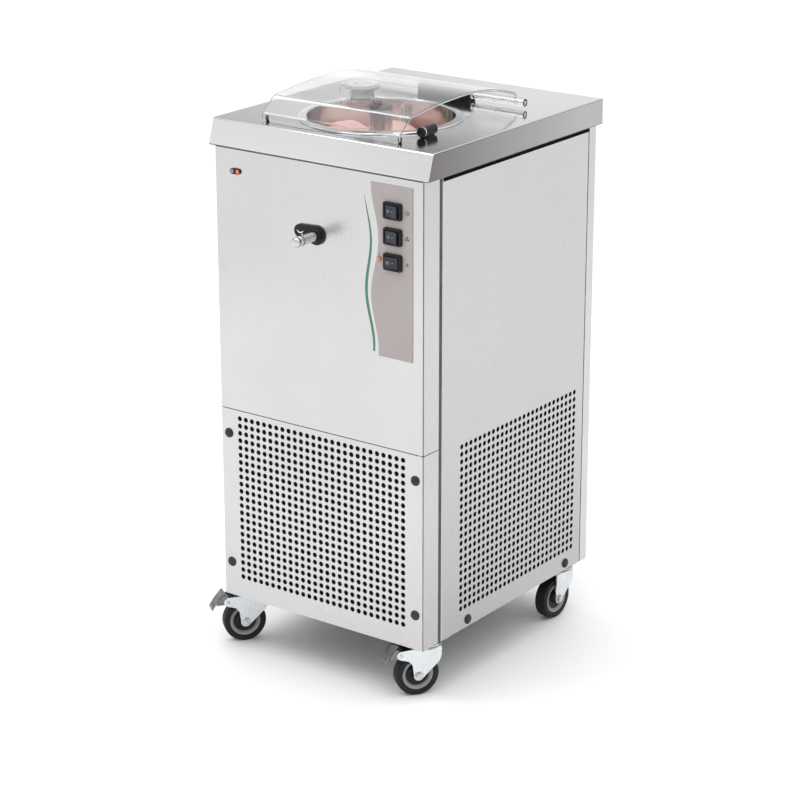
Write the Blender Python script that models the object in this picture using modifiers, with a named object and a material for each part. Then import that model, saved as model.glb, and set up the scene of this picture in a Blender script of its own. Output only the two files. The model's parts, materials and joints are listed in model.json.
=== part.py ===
"""A floor-standing batch freezer: a paddle turns in a refrigerated bowl under a clear hinged lid.

Metres, +Z up, the front faces -Y. Every piece is placed in the machine's own frame (X from the
centre plane, Y back from the front panel, Z up from the floor) and hangs on one empty, which
moves the frame's origin to the middle of the machine's footprint.
"""

import math

import bmesh
import bpy
from mathutils import Matrix, Vector

# ---------------------------------------------------------------- driving dimensions
GAP = 0.0003                      # between pieces that touch
MERGE = 0.00001
SHARP_ANGLE = math.radians(30)    # faces that meet at more than this keep their edge

BODY_WIDTH = 0.450
BODY_DEPTH = 0.535
BODY_HEIGHT = 0.895               # underside of the body to the top of the worktop
CASTOR_HEIGHT = 0.102
SHEET = 0.0012                    # panel metal

SPLIT_HEIGHT = 0.366              # lower front panel's height
SPLIT_GAP = 0.0015
FRONT_RETURN = 0.045              # front panels' depth round the corner
BACK_RETURN = 0.024
SHADOW_GAP = 0.0105               # open joint between the front return and the side panel
BACK_JOINT = 0.0010

WORKTOP_SHEET = 0.0015
WORKTOP_SIDE = 0.012              # overhang past each side
WORKTOP_SET_BACK = 0.011          # top front edge behind the front panel
WORKTOP_LEAN = 0.015              # the front rim runs out by this much at its bottom
RIM_HEIGHT = 0.046

HOLE_DIAMETER = 0.008
HOLE_PITCH = 0.014
GRID_COLUMNS = 27
GRID_ROWS = 23
GRID_TOP = 0.350                  # top row above the underside of the body
SIDE_GRID_START = 0.115           # first column behind the front panel
GRID_STEP = 4                     # the solid keeps one hole in this many each way
HOLE_SIDES = 4

CAP_RADIUS = 0.0095
CAP_HEIGHT = 0.005
FRONT_CAP_INSET = 0.017
FRONT_CAP_LEVELS = (0.066, 0.318)
SIDE_CAP_LEVEL = 0.014
SIDE_CAP_PLACES = (0.138, 0.4595)

POST_LEG = 0.048
POST_WIDTH = 0.014
FRAME_SHEET = 0.002
RAIL_WIDTH = 0.014
VENT_SLOTS = 9
VENT_WIDTH = 0.220
VENT_HEIGHT = 0.008
VENT_PITCH = 0.022
VENT_BOTTOM = 0.070

BOWL_BACK = 0.185                 # bowl axis behind the front panel
BOWL_RADIUS = 0.130
BOWL_DEPTH = 0.172
BOWL_WALL = 0.002
BOWL_FLANGE = 0.015
BOWL_FLANGE_HEIGHT = 0.003
BOWL_TUBE_RADIUS = 0.0145
BOWL_TUBE_DROP = 0.030            # top of the centre tube below the worktop
SHAFT_RADIUS = 0.008
COIL_TURNS = 4
COIL_STEPS = 20                   # chords per turn
COIL_TUBE = 0.004
INSULATION_RADIUS = 0.165
INSULATION_WALL = 0.020
INSULATION_FLOOR = 0.024

HUB_RADIUS = 0.0205
HUB_RISE = 0.018                  # hub top above the worktop
HUB_WALL = 0.003
BLADE_THICKNESS = 0.004
BLADE_CLEARANCE = 0.003
SWEEP_HEIGHT = 0.030
SCRAPER_WIDTH = 0.020
SCRAPER_TOP = 0.006               # below the worktop
BLADE_ANGLES = (-12.0, 108.0, 228.0)

SPOUT_DROP = 0.1735               # drain below the top of the worktop
DRAIN_OUTER = 0.009
DRAIN_INNER = 0.0068
DRAIN_REACH = 0.052               # tube in front of the panel
PLUG_BUTTON = 0.011
PLUG_RADIUS = 0.0064
ESCUTCHEON_HUB = 0.017
ESCUTCHEON_LOBE = 0.012
ESCUTCHEON_SPAN = 0.035
ESCUTCHEON_RISE = 0.003
ESCUTCHEON_HEIGHT = 0.005

DECAL_RIGHT = 0.203
DECAL_TOP_DROP = 0.061            # this and the levels below it are measured from the worktop
DECAL_HEIGHT = 0.304
DECAL_THICKNESS = 0.0006
DECAL_WIDTH = 0.078               # mean width; the left edge waves about it
DECAL_WAVE = 0.0075
SWITCH_X = 0.163
SWITCH_DROP = 0.105
SWITCH_PITCH = 0.0445
SWITCH_COUNT = 3
BEZEL_WIDTH = 0.038
BEZEL_HEIGHT = 0.030
BEZEL_DEPTH = 0.0055
HOUSING_WIDTH = 0.034
HOUSING_HEIGHT = 0.026
HOUSING_DEPTH = 0.024
ROCKER_WIDTH = 0.025
ROCKER_HEIGHT = 0.020
ROCKER_RISE = 0.0045
ROCKER_SIDE_GAP = 0.0016           # room for the rocker's ends to swing
SWITCH_SIDES = (1, 1, -1)          # the end of each rocker that stands out
LAMP_X = 0.134
LAMP_DROP = 0.192
LAMP_RADIUS = 0.004
CAPSULE_X = -0.1785
CAPSULE_DROP = 0.087
CAPSULE_LENGTH = 0.022
CAPSULE_HEIGHT = 0.010
CAPSULE_RISE = 0.003

LID_HALF_WIDTH = 0.1475
LID_SHEET = 0.003
LID_FRONT = 0.040                 # lip behind the front panel
LID_LIFT = 0.003                  # lip above the worktop
LIP_TOP = 0.013
ROOF_FRONT = (0.072, 0.0395)      # back from the panel, above the worktop
ROOF_CREST = (0.235, 0.0512)
ROOF_BACK = (0.386, 0.0255)
ROOF_STEPS = 6
HINGE_BACK = 0.382
HINGE_LEVEL = 0.0108
HINGE_BAR = 0.014
HINGE_BAR_END = 0.170
HINGE_BLOCK_HALF = 0.0565
HINGE_BLOCK_DEPTH = 0.020
HINGE_BLOCK_HEIGHT = 0.0205
HINGE_PIN_RADIUS = 0.003
BUMPER_SIZE = 0.006
BUMPER_HEIGHT = 0.009

CHUTE_BACK = 0.130
CHUTE_OUTER = 0.0205
CHUTE_INNER = 0.0180
CHUTE_TOP = 0.066                 # flange above the worktop
CHUTE_BOTTOM = 0.034
CHUTE_FLANGE = 0.0325
CHUTE_FLANGE_THICKNESS = 0.0035
CAP_DISC = 0.0290
CAP_THICKNESS = 0.003
CAP_SKIRT = 0.0172
CAP_SKIRT_DEPTH = 0.010
CAP_WALL = 0.002
TAB_ANGLE = 208.0
TAB_WIDTH = 0.012
TAB_REACH = 0.036
TAB_DROP = 0.016

SENSOR_X = 0.1520
SENSOR_START = 0.0910
SENSOR_LENGTH = 0.040
SENSOR_RADIUS = 0.0085

CASTOR_INSET_X = 0.027
CASTOR_INSET_Y = 0.052
CASTOR_HEADINGS = {"front_left": 52.0, "front_right": 55.0, "back_left": 80.0, "back_right": 86.0}
WHEEL_RADIUS = 0.040
WHEEL_WIDTH = 0.024
WHEEL_STEPS = 20
CASTOR_TRAIL = 0.022
RACE_RADIUS = 0.025
RACE_HEIGHT = 0.009
STUD_RADIUS = 0.006
NUT_RADIUS = 0.010
NUT_HEIGHT = 0.008
FORK_SHEET = 0.0025
FORK_CLEARANCE = 0.0025           # cheek to tyre
AXLE_RADIUS = 0.004
BOLT_HEAD = 0.0075
BOLT_HEAD_HEIGHT = 0.004
BRAKE_PIVOT = (0.055, -0.019)     # along the fork from the swivel axis, above the body's underside
BRAKE_LOBE = 0.008
PEDAL_TOP = (0.064, -0.003)
PEDAL_TIP = (0.0855, -0.032)
PEDAL_WIDTH = 0.030
PEDAL_SHEET = 0.003
SHOE_REACH = 0.0135
BRAKE_TRAVEL = 20.0               # pedal's turn from free to braked
BRAKED = ("front_left", "front_right")

CONDENSER_WIDTH = 0.300
CONDENSER_HEIGHT = 0.290
CONDENSER_DEPTH = 0.044
CONDENSER_FRONT = 0.050
CONDENSER_FINS = 14
FAN_RADIUS = 0.105
FAN_HUB = 0.026
FAN_DEPTH = 0.022
FAN_BLADES = 5
FAN_BLADE_PITCH = 28.0
SHROUD_DEPTH = 0.030
FAN_MOTOR_RADIUS = 0.034
FAN_MOTOR_LENGTH = 0.055
COMPRESSOR_RADIUS = 0.078
COMPRESSOR_HEIGHT = 0.175
COMPRESSOR_X = -0.095
COMPRESSOR_BACK = 0.385
GEARBOX_SIZE = 0.120
GEARBOX_HEIGHT = 0.075
MOTOR_RADIUS = 0.055
MOTOR_LENGTH = 0.150
BRACKET_SHEET = 0.004
BRACKET_DEPTH = 0.160
PIPE_RADIUS = 0.005
DRIER_RADIUS = 0.011
DRIER_LENGTH = 0.090
BOX_WIDTH = 0.130
BOX_HEIGHT = 0.160
BOX_DEPTH = 0.060
BOX_X = 0.120
BOX_LEVEL = 0.150
INLET_RADIUS = 0.014
INLET_LENGTH = 0.022
INLET_X = 0.120
INLET_LEVEL = 0.045

# ---------------------------------------------------------------- derived levels
UNDER = CASTOR_HEIGHT                            # underside of the body
TOP = UNDER + BODY_HEIGHT                        # top of the worktop
HALF = BODY_WIDTH / 2
SPLIT = UNDER + SPLIT_HEIGHT
RIM_BOTTOM = TOP - RIM_HEIGHT
PANEL_TOP = TOP - WORKTOP_SHEET - GAP
FRONT_TOP = RIM_BOTTOM + 0.005                   # front panel, just behind the leaning rim
WORKTOP_BACK = BODY_DEPTH + WORKTOP_SHEET + GAP
POST_FRONT = WORKTOP_SET_BACK + 1.2 * WORKTOP_SHEET + GAP
BOWL_FLOOR = TOP - BOWL_DEPTH
COIL_INNER = BOWL_RADIUS + BOWL_WALL + GAP
INSULATION_BOTTOM = BOWL_FLOOR - BOWL_WALL - GAP - INSULATION_FLOOR
BRACKET_TOP = INSULATION_BOTTOM - GAP
SPOUT = TOP - SPOUT_DROP
PAN_TOP = UNDER + GAP + FRAME_SHEET
AXLE_DROP = CASTOR_HEIGHT - WHEEL_RADIUS
FORK_TOP = -RACE_HEIGHT - 2 * GAP
CHEEK_INNER = WHEEL_WIDTH / 2 + FORK_CLEARANCE
CHEEK_OUTER = CHEEK_INNER + FORK_SHEET
FAN_LEVEL = PAN_TOP + GAP + CONDENSER_HEIGHT / 2
SHROUD_FRONT = CONDENSER_FRONT + CONDENSER_DEPTH + GAP

PARTS = None
CUTTERS = None
MACHINE = None


# ---------------------------------------------------------------- scene and helpers
def start_scene():
    """Empties the scene and makes the two collections and the empty that carries every piece."""
    global PARTS, CUTTERS, MACHINE
    for old in list(bpy.data.objects):
        bpy.data.objects.remove(old, do_unlink=True)
    PARTS = bpy.data.collections.new("batch_freezer")
    CUTTERS = bpy.data.collections.new("cutters")
    bpy.context.scene.collection.children.link(PARTS)
    bpy.context.scene.collection.children.link(CUTTERS)
    MACHINE = bpy.data.objects.new("machine", None)
    PARTS.objects.link(MACHINE)


def material(name, colour, roughness, metallic=0.0, alpha=1.0):
    made = bpy.data.materials.new(name)
    made.use_nodes = True
    shader = made.node_tree.nodes["Principled BSDF"]
    shader.inputs["Base Color"].default_value = (*colour, 1.0)
    shader.inputs["Roughness"].default_value = roughness
    shader.inputs["Metallic"].default_value = metallic
    shader.inputs["Alpha"].default_value = alpha
    return made


def add_mesh(name, bm, place=(0, 0, 0)):
    """A parts object from a bmesh, with its origin at place."""
    bmesh.ops.recalc_face_normals(bm, faces=bm.faces)
    mesh = bpy.data.meshes.new(name)
    bm.to_mesh(mesh)
    bm.free()
    obj = bpy.data.objects.new(name, mesh)
    obj.location = place
    obj.parent = MACHINE
    PARTS.objects.link(obj)
    return obj


def put_box(bm, low, high):
    """A box between two corners, added to a bmesh."""
    low = Vector(low)
    high = Vector(high)
    made = bmesh.ops.create_cube(bm, size=1.0)["verts"]
    bmesh.ops.scale(bm, vec=high - low, verts=made)
    bmesh.ops.translate(bm, vec=(low + high) / 2, verts=made)
    return made


def put_rod(bm, start, end, radius, sides=16):
    """A capped cylinder from start to end, added to a bmesh."""
    start = Vector(start)
    end = Vector(end)
    run = end - start
    made = bmesh.ops.create_cone(
        bm, cap_ends=True, segments=sides, radius1=radius, radius2=radius, depth=run.length
    )["verts"]
    turn = Vector((0, 0, 1)).rotation_difference(run).to_matrix().to_4x4()
    bmesh.ops.transform(bm, matrix=Matrix.Translation((start + end) / 2) @ turn, verts=made)
    return made


def box(name, low, high, place=(0, 0, 0)):
    bm = bmesh.new()
    put_box(bm, low, high)
    return add_mesh(name, bm, place)


def rod(name, start, end, radius, sides=16, place=(0, 0, 0)):
    bm = bmesh.new()
    put_rod(bm, start, end, radius, sides)
    return add_mesh(name, bm, place)


def sheet(name, outline, sweep, thickness, offset=-1.0):
    """Bent sheet metal: an open outline of points swept along a vector, with Solidify's thickness."""
    bm = bmesh.new()
    sweep = Vector(sweep)
    first = [bm.verts.new(p) for p in outline]
    second = [bm.verts.new(Vector(p) + sweep) for p in outline]
    for i in range(len(outline) - 1):
        bm.faces.new((first[i], first[i + 1], second[i + 1], second[i]))
    mesh = bpy.data.meshes.new(name)
    bm.to_mesh(mesh)
    bm.free()
    obj = bpy.data.objects.new(name, mesh)
    obj.parent = MACHINE
    PARTS.objects.link(obj)
    solid = obj.modifiers.new("thickness", "SOLIDIFY")
    solid.thickness = thickness
    solid.offset = offset
    solid.use_even_offset = True
    return obj


def turned(name, profile, steps, place=(0, 0, 0), turn=None):
    """A turned solid about its own Z axis: (radius, height) points, outer side running downwards."""
    mesh = bpy.data.meshes.new(name)
    count = len(profile)
    closed = profile[0][0] > 0 and profile[-1][0] > 0
    edges = [(i, i + 1) for i in range(count - 1)]
    if closed:
        edges.append((count - 1, 0))
    mesh.from_pydata([(r, 0, z) for r, z in profile], edges, [])
    obj = bpy.data.objects.new(name, mesh)
    obj.location = place
    if turn is not None:
        obj.rotation_euler = turn
    obj.parent = MACHINE
    PARTS.objects.link(obj)
    screw = obj.modifiers.new("turned", "SCREW")
    screw.axis = "Z"
    screw.steps = steps
    screw.render_steps = steps
    screw.use_merge_vertices = True
    screw.merge_threshold = MERGE
    return obj


def plate(name, outline, depth, place=(0, 0, 0), axis="Y"):
    """A flat outline of (across, up) points, depth thick along the axis, starting at the origin."""
    bm = bmesh.new()
    if axis == "Y":
        points = [(a, 0, b) for a, b in outline]
        run = (0, depth, 0)
    else:
        points = [(a, b, 0) for a, b in outline]
        run = (0, 0, depth)
    face = bm.faces.new([bm.verts.new(p) for p in points])
    grown = bmesh.ops.extrude_face_region(bm, geom=[face])["geom"]
    bmesh.ops.translate(bm, vec=run, verts=[v for v in grown if isinstance(v, bmesh.types.BMVert)])
    return add_mesh(name, bm, place)


def tube(name, points, radius, bevel_resolution=2):
    """A tube along points, as a mesh with welded caps."""
    curve = bpy.data.curves.new(name, "CURVE")
    curve.dimensions = "3D"
    curve.bevel_depth = radius
    curve.bevel_resolution = bevel_resolution
    curve.use_fill_caps = True
    spline = curve.splines.new("POLY")
    spline.points.add(len(points) - 1)
    for slot, point in zip(spline.points, points):
        slot.co = (*point, 1.0)
    guide = bpy.data.objects.new(name + "_curve", curve)
    PARTS.objects.link(guide)
    bpy.context.view_layer.update()
    seen = guide.evaluated_get(bpy.context.evaluated_depsgraph_get())
    mesh = bpy.data.meshes.new_from_object(seen)
    matrix = guide.matrix_world.copy()
    bpy.data.objects.remove(guide, do_unlink=True)
    bm = bmesh.new()
    bm.from_mesh(mesh)
    bmesh.ops.remove_doubles(bm, verts=bm.verts, dist=MERGE)
    bpy.data.meshes.remove(mesh)
    obj = add_mesh(name, bm)
    obj.matrix_world = matrix
    return obj


def boolean(target, tool, operation):
    """Adds a Boolean to target, and files the tool among the cutters."""
    step = target.modifiers.new(operation.lower(), "BOOLEAN")
    step.operation = operation
    step.solver = "EXACT"
    step.object = tool
    PARTS.objects.unlink(tool)
    CUTTERS.objects.link(tool)
    tool.hide_render = True
    tool.display_type = "WIRE"


def cut(target, tool):
    boolean(target, tool, "DIFFERENCE")


def join(target, tool):
    boolean(target, tool, "UNION")


def paint(objects, made):
    """Gives each object its finish, and smooth shading where its faces meet at a small angle."""
    for obj in objects:
        obj.data.materials.clear()
        obj.data.materials.append(made)
        if obj.type == "MESH":
            obj.data.shade_smooth()
            obj.data.set_sharp_from_angle(angle=SHARP_ANGLE)


def arc(centre, radius, start, end, steps):
    """Points on a circle between two angles in degrees."""
    points = []
    for i in range(steps + 1):
        angle = math.radians(start + (end - start) * i / steps)
        points.append((centre[0] + radius * math.cos(angle), centre[1] + radius * math.sin(angle)))
    return points


def smooth_path(points, per_span=4):
    """Points on a smooth curve through the given ones."""
    path = []
    ends = [points[0], *points, points[-1]]
    for i in range(len(points) - 1):
        a, b, c, d = (Vector(p) for p in ends[i:i + 4])
        for k in range(per_span):
            t = k / per_span
            path.append(0.5 * (2 * b + (c - a) * t + (2 * a - 5 * b + 4 * c - d) * t * t
                               + (3 * b - a - 3 * c + d) * t ** 3))
    path.append(Vector(points[-1]))
    return path


# ---------------------------------------------------------------- housing
def grid_cutter(name, across, up, normal):
    """The coarse copy of the perforation: (start, direction) across, the top row's level, and the
    direction through the sheet."""
    bm = bmesh.new()
    start, direction = across
    for column in range(0, GRID_COLUMNS, GRID_STEP):
        for row in range(0, GRID_ROWS, GRID_STEP):
            middle = Vector(start) + Vector(direction) * (column * HOLE_PITCH)
            middle.z = up - row * HOLE_PITCH
            reach = Vector(normal) * (4 * SHEET)
            put_rod(bm, middle - reach, middle + reach, HOLE_DIAMETER / 2, HOLE_SIDES)
    return add_mesh(name, bm)


def dome(name, place, outward):
    """A round fastener cap whose base sinks a little into its panel."""
    out = Vector(outward)
    base = Vector(place)
    bm = bmesh.new()
    made = bmesh.ops.create_cone(
        bm, cap_ends=True, segments=12, radius1=CAP_RADIUS, radius2=CAP_RADIUS * 0.6,
        depth=CAP_HEIGHT + SHEET / 2,
    )["verts"]
    turn = Vector((0, 0, 1)).rotation_difference(out).to_matrix().to_4x4()
    middle = base + out * (CAP_HEIGHT - SHEET / 2) / 2
    bmesh.ops.transform(bm, matrix=Matrix.Translation(middle) @ turn, verts=made)
    return add_mesh(name, bm)


def make_front_grille():
    low = UNDER + GAP
    high = SPLIT - SPLIT_GAP
    outline = [(-HALF, FRONT_RETURN, low), (-HALF, 0, low), (HALF, 0, low), (HALF, FRONT_RETURN, low)]
    panel = sheet("front_grille_panel", outline, (0, 0, high - low), SHEET)
    first = -(GRID_COLUMNS - 1) * HOLE_PITCH / 2
    cut(panel, grid_cutter("front_grille_holes", ((first, 0, 0), (1, 0, 0)), UNDER + GRID_TOP, (0, 1, 0)))
    for side in (-1, 1):
        for i, level in enumerate(FRONT_CAP_LEVELS):
            place = (side * (HALF - FRONT_CAP_INSET), 0, UNDER + level)
            join(panel, dome(f"front_cap_{side}_{i}", place, (0, -1, 0)))
    return panel


def make_front_panel():
    outline = [(-HALF, FRONT_RETURN, SPLIT), (-HALF, 0, SPLIT), (HALF, 0, SPLIT),
               (HALF, FRONT_RETURN, SPLIT)]
    panel = sheet("front_panel", outline, (0, 0, FRONT_TOP - SPLIT), SHEET)
    bm = bmesh.new()
    reach = 6 * SHEET
    put_rod(bm, (0, -reach, SPOUT), (0, reach, SPOUT), DRAIN_OUTER + GAP, 20)
    for level in switch_levels():
        put_box(
            bm,
            (SWITCH_X - HOUSING_WIDTH / 2 - GAP, -reach, level - HOUSING_HEIGHT / 2 - GAP),
            (SWITCH_X + HOUSING_WIDTH / 2 + GAP, reach, level + HOUSING_HEIGHT / 2 + GAP),
        )
    put_rod(bm, (LAMP_X, -reach, TOP - LAMP_DROP), (LAMP_X, reach, TOP - LAMP_DROP),
            LAMP_RADIUS * 0.7 + GAP, 12)
    capsule_low = CAPSULE_LENGTH / 2 - CAPSULE_HEIGHT / 2 + GAP
    put_box(
        bm,
        (CAPSULE_X - capsule_low, -reach, TOP - CAPSULE_DROP - CAPSULE_HEIGHT / 4 - GAP),
        (CAPSULE_X + capsule_low, reach, TOP - CAPSULE_DROP + CAPSULE_HEIGHT / 4 + GAP),
    )
    cut(panel, add_mesh("front_panel_holes", bm))
    return panel


def make_side_panel(side):
    name = "right_panel" if side > 0 else "left_panel"
    low = UNDER + GAP
    start = FRONT_RETURN + SHADOW_GAP
    end = BODY_DEPTH - BACK_RETURN - BACK_JOINT
    outer = side * HALF
    inner = side * (HALF - SHEET)
    panel = box(name, (min(outer, inner), start, low), (max(outer, inner), end, PANEL_TOP))
    cut(panel, grid_cutter(name + "_holes", ((outer, SIDE_GRID_START, 0), (0, 1, 0)),
                           UNDER + GRID_TOP, (1, 0, 0)))
    for i, along in enumerate(SIDE_CAP_PLACES):
        join(panel, dome(f"{name}_cap_{i}", (outer, along, UNDER + SIDE_CAP_LEVEL), (side, 0, 0)))
    return panel


def make_back_panel():
    low = UNDER + GAP
    front = BODY_DEPTH - BACK_RETURN
    outline = [(HALF, front, low), (HALF, BODY_DEPTH, low), (-HALF, BODY_DEPTH, low), (-HALF, front, low)]
    panel = sheet("back_panel", outline, (0, 0, PANEL_TOP - low), SHEET)
    bm = bmesh.new()
    for i in range(VENT_SLOTS):
        level = UNDER + VENT_BOTTOM + VENT_PITCH * (i + 1)
        put_box(bm, (-VENT_WIDTH / 2 - 0.06, BODY_DEPTH - 4 * SHEET, level),
                (VENT_WIDTH / 2 - 0.06, BODY_DEPTH + 4 * SHEET, level + VENT_HEIGHT))
    place = (INLET_X, BODY_DEPTH, UNDER + INLET_LEVEL)
    put_rod(bm, (place[0], place[1] - 4 * SHEET, place[2]), (place[0], place[1] + 4 * SHEET, place[2]),
            INLET_RADIUS * 0.7 + GAP, 16)
    cut(panel, add_mesh("back_panel_holes", bm))
    return panel


def make_worktop():
    """The folded top: an open-bottomed pan whose front rim leans out, with the bowl's opening."""
    bm = bmesh.new()
    put_box(bm, (-HALF - WORKTOP_SIDE, WORKTOP_SET_BACK, RIM_BOTTOM),
            (HALF + WORKTOP_SIDE, WORKTOP_BACK, TOP))
    for vert in bm.verts:
        if vert.co.y < BODY_DEPTH / 2 and vert.co.z < (TOP + RIM_BOTTOM) / 2:
            vert.co.y -= WORKTOP_LEAN
    bottom = [f for f in bm.faces if f.normal.z < -0.9]
    bmesh.ops.delete(bm, geom=bottom, context="FACES_ONLY")
    top = add_mesh("worktop", bm)
    solid = top.modifiers.new("thickness", "SOLIDIFY")
    solid.thickness = WORKTOP_SHEET
    solid.offset = -1.0
    solid.use_even_offset = True
    opening = rod("bowl_opening", (0, BOWL_BACK, TOP - 0.01), (0, BOWL_BACK, TOP + 0.01),
                  BOWL_RADIUS + BOWL_WALL + GAP, 48)
    cut(top, opening)
    return top


def make_base_frame():
    """The pan, four corner posts, the top rails and the two rails that carry the drive bracket."""
    inner = HALF - SHEET - GAP
    front = POST_FRONT
    back = BODY_DEPTH - SHEET - GAP
    high = PANEL_TOP - GAP
    frame = box("base_frame", (-inner, SHEET + GAP, UNDER + GAP), (inner, back, PAN_TOP))
    pieces = []
    for side in (-1, 1):
        wall = sorted((side * inner, side * (inner - FRAME_SHEET)))
        flange = sorted((side * inner, side * (inner - POST_WIDTH)))
        rail = sorted((side * (inner - FRAME_SHEET / 2), side * (inner - RAIL_WIDTH)))
        for near, far, edge in ((front, front + POST_LEG, front), (back - POST_LEG, back,
                                                                   back - FRAME_SHEET)):
            pieces.append(((wall[0], near, PAN_TOP - FRAME_SHEET / 2), (wall[1], far, high)))
            pieces.append(((flange[0], edge, PAN_TOP - FRAME_SHEET / 2),
                           (flange[1], edge + FRAME_SHEET, high)))
        pieces.append(((rail[0], front + FRAME_SHEET / 2, high - RAIL_WIDTH),
                       (rail[1], back - FRAME_SHEET / 2, high - RAIL_WIDTH + FRAME_SHEET)))
        shelf = BRACKET_TOP - BRACKET_SHEET - GAP
        pieces.append(((rail[0], front + FRAME_SHEET / 2, shelf - FRAME_SHEET),
                       (rail[1], back - FRAME_SHEET / 2, shelf)))
    for edge in (front, back - FRAME_SHEET):
        pieces.append(((-inner + FRAME_SHEET / 2, edge, high - RAIL_WIDTH),
                       (inner - FRAME_SHEET / 2, edge + FRAME_SHEET, high - FRAME_SHEET / 2)))
    for i, (low, top) in enumerate(pieces):
        join(frame, box(f"frame_piece_{i}", low, top))
    bm = bmesh.new()
    for name in CASTOR_HEADINGS:
        x, y = castor_place(name)
        put_rod(bm, (x, y, UNDER - 0.01), (x, y, PAN_TOP + 0.01), STUD_RADIUS + GAP, 12)
    cut(frame, add_mesh("castor_bolt_holes", bm))
    return frame


# ---------------------------------------------------------------- controls on the front
def switch_levels():
    return [TOP - SWITCH_DROP - SWITCH_PITCH * i for i in range(SWITCH_COUNT)]


def make_decal():
    """The printed plate: straight on three sides, with a waving left edge."""
    high = TOP - DECAL_TOP_DROP
    low = high - DECAL_HEIGHT
    outline = [(DECAL_RIGHT, high), (DECAL_RIGHT, low)]
    steps = 14
    for i in range(steps + 1):
        share = i / steps
        wave = DECAL_WAVE * math.sin(2 * math.pi * (1.55 * share - 0.30))
        outline.append((DECAL_RIGHT - DECAL_WIDTH - wave, low + (high - low) * share))
    decal = plate("control_plate", outline, DECAL_THICKNESS, (0, -GAP - DECAL_THICKNESS, 0))
    bm = bmesh.new()
    for level in switch_levels():
        put_box(
            bm,
            (SWITCH_X - HOUSING_WIDTH / 2 - GAP, -0.01, level - HOUSING_HEIGHT / 2 - GAP),
            (SWITCH_X + HOUSING_WIDTH / 2 + GAP, 0.01, level + HOUSING_HEIGHT / 2 + GAP),
        )
    put_rod(bm, (LAMP_X, -0.01, TOP - LAMP_DROP), (LAMP_X, 0.01, TOP - LAMP_DROP),
            LAMP_RADIUS * 0.7 + GAP, 12)
    holes = add_mesh("control_plate_holes", bm)
    cut(decal, holes)
    return decal


def make_switch(index, level):
    """One rocker switch: the bezel with its housing behind the panel, and the rocker in it."""
    face = -2 * GAP - DECAL_THICKNESS
    bezel = box(
        f"switch_bezel_{index}",
        (SWITCH_X - BEZEL_WIDTH / 2, face - BEZEL_DEPTH, level - BEZEL_HEIGHT / 2),
        (SWITCH_X + BEZEL_WIDTH / 2, face, level + BEZEL_HEIGHT / 2),
    )
    edge = bezel.modifiers.new("edges", "BEVEL")
    edge.width = 0.002
    edge.segments = 1
    housing = box(
        f"switch_housing_{index}",
        (SWITCH_X - HOUSING_WIDTH / 2, face - BEZEL_DEPTH / 2, level - HOUSING_HEIGHT / 2),
        (SWITCH_X + HOUSING_WIDTH / 2, HOUSING_DEPTH, level + HOUSING_HEIGHT / 2),
    )
    join(bezel, housing)
    clear = 0.0006
    well = box(
        f"switch_well_{index}",
        (SWITCH_X - ROCKER_WIDTH / 2 - ROCKER_SIDE_GAP, face - BEZEL_DEPTH - 0.01,
         level - ROCKER_HEIGHT / 2 - clear),
        (SWITCH_X + ROCKER_WIDTH / 2 + ROCKER_SIDE_GAP, face + 0.010, level + ROCKER_HEIGHT / 2 + clear),
    )
    cut(bezel, well)
    pivot_y = face - BEZEL_DEPTH / 2
    half = ROCKER_WIDTH / 2
    front = -(BEZEL_DEPTH / 2 + ROCKER_RISE)
    outline = [(-half, -BEZEL_DEPTH / 2 - 0.001), (0, front * 0.55), (half, front),
               (half * 0.9, 0.002), (0, 0.0075), (-half * 0.9, 0.002)]
    outline = [(across * SWITCH_SIDES[index - 1], back) for across, back in outline]
    rocker = plate(f"rocker_{index}", outline, ROCKER_HEIGHT,
                   (SWITCH_X, pivot_y, level - ROCKER_HEIGHT / 2), "Z")
    return bezel, rocker


def make_lamp():
    face = -2 * GAP - DECAL_THICKNESS
    level = TOP - LAMP_DROP
    lamp = turned(
        "power_lamp",
        [(0, 0.003), (LAMP_RADIUS * 0.7, 0.0022), (LAMP_RADIUS, 0.0), (LAMP_RADIUS * 0.7, 0.0),
         (LAMP_RADIUS * 0.7, -0.010), (0, -0.010)],
        12, (LAMP_X, face, level), (math.pi / 2, 0, 0),
    )
    return lamp


def make_capsule():
    """The two-lamp indicator: a rounded bar with its body through the panel."""
    radius = CAPSULE_HEIGHT / 2
    reach = CAPSULE_LENGTH / 2 - radius
    outline = arc((reach, 0), radius, -90, 90, 8) + arc((-reach, 0), radius, 90, 270, 8)
    level = TOP - CAPSULE_DROP
    capsule = plate("indicator_capsule", outline, CAPSULE_RISE, (CAPSULE_X, -GAP - CAPSULE_RISE, level))
    stem = box("indicator_stem", (CAPSULE_X - reach, -CAPSULE_RISE, level - radius / 2),
               (CAPSULE_X + reach, 0.012, level + radius / 2))
    join(capsule, stem)
    return capsule


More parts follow.
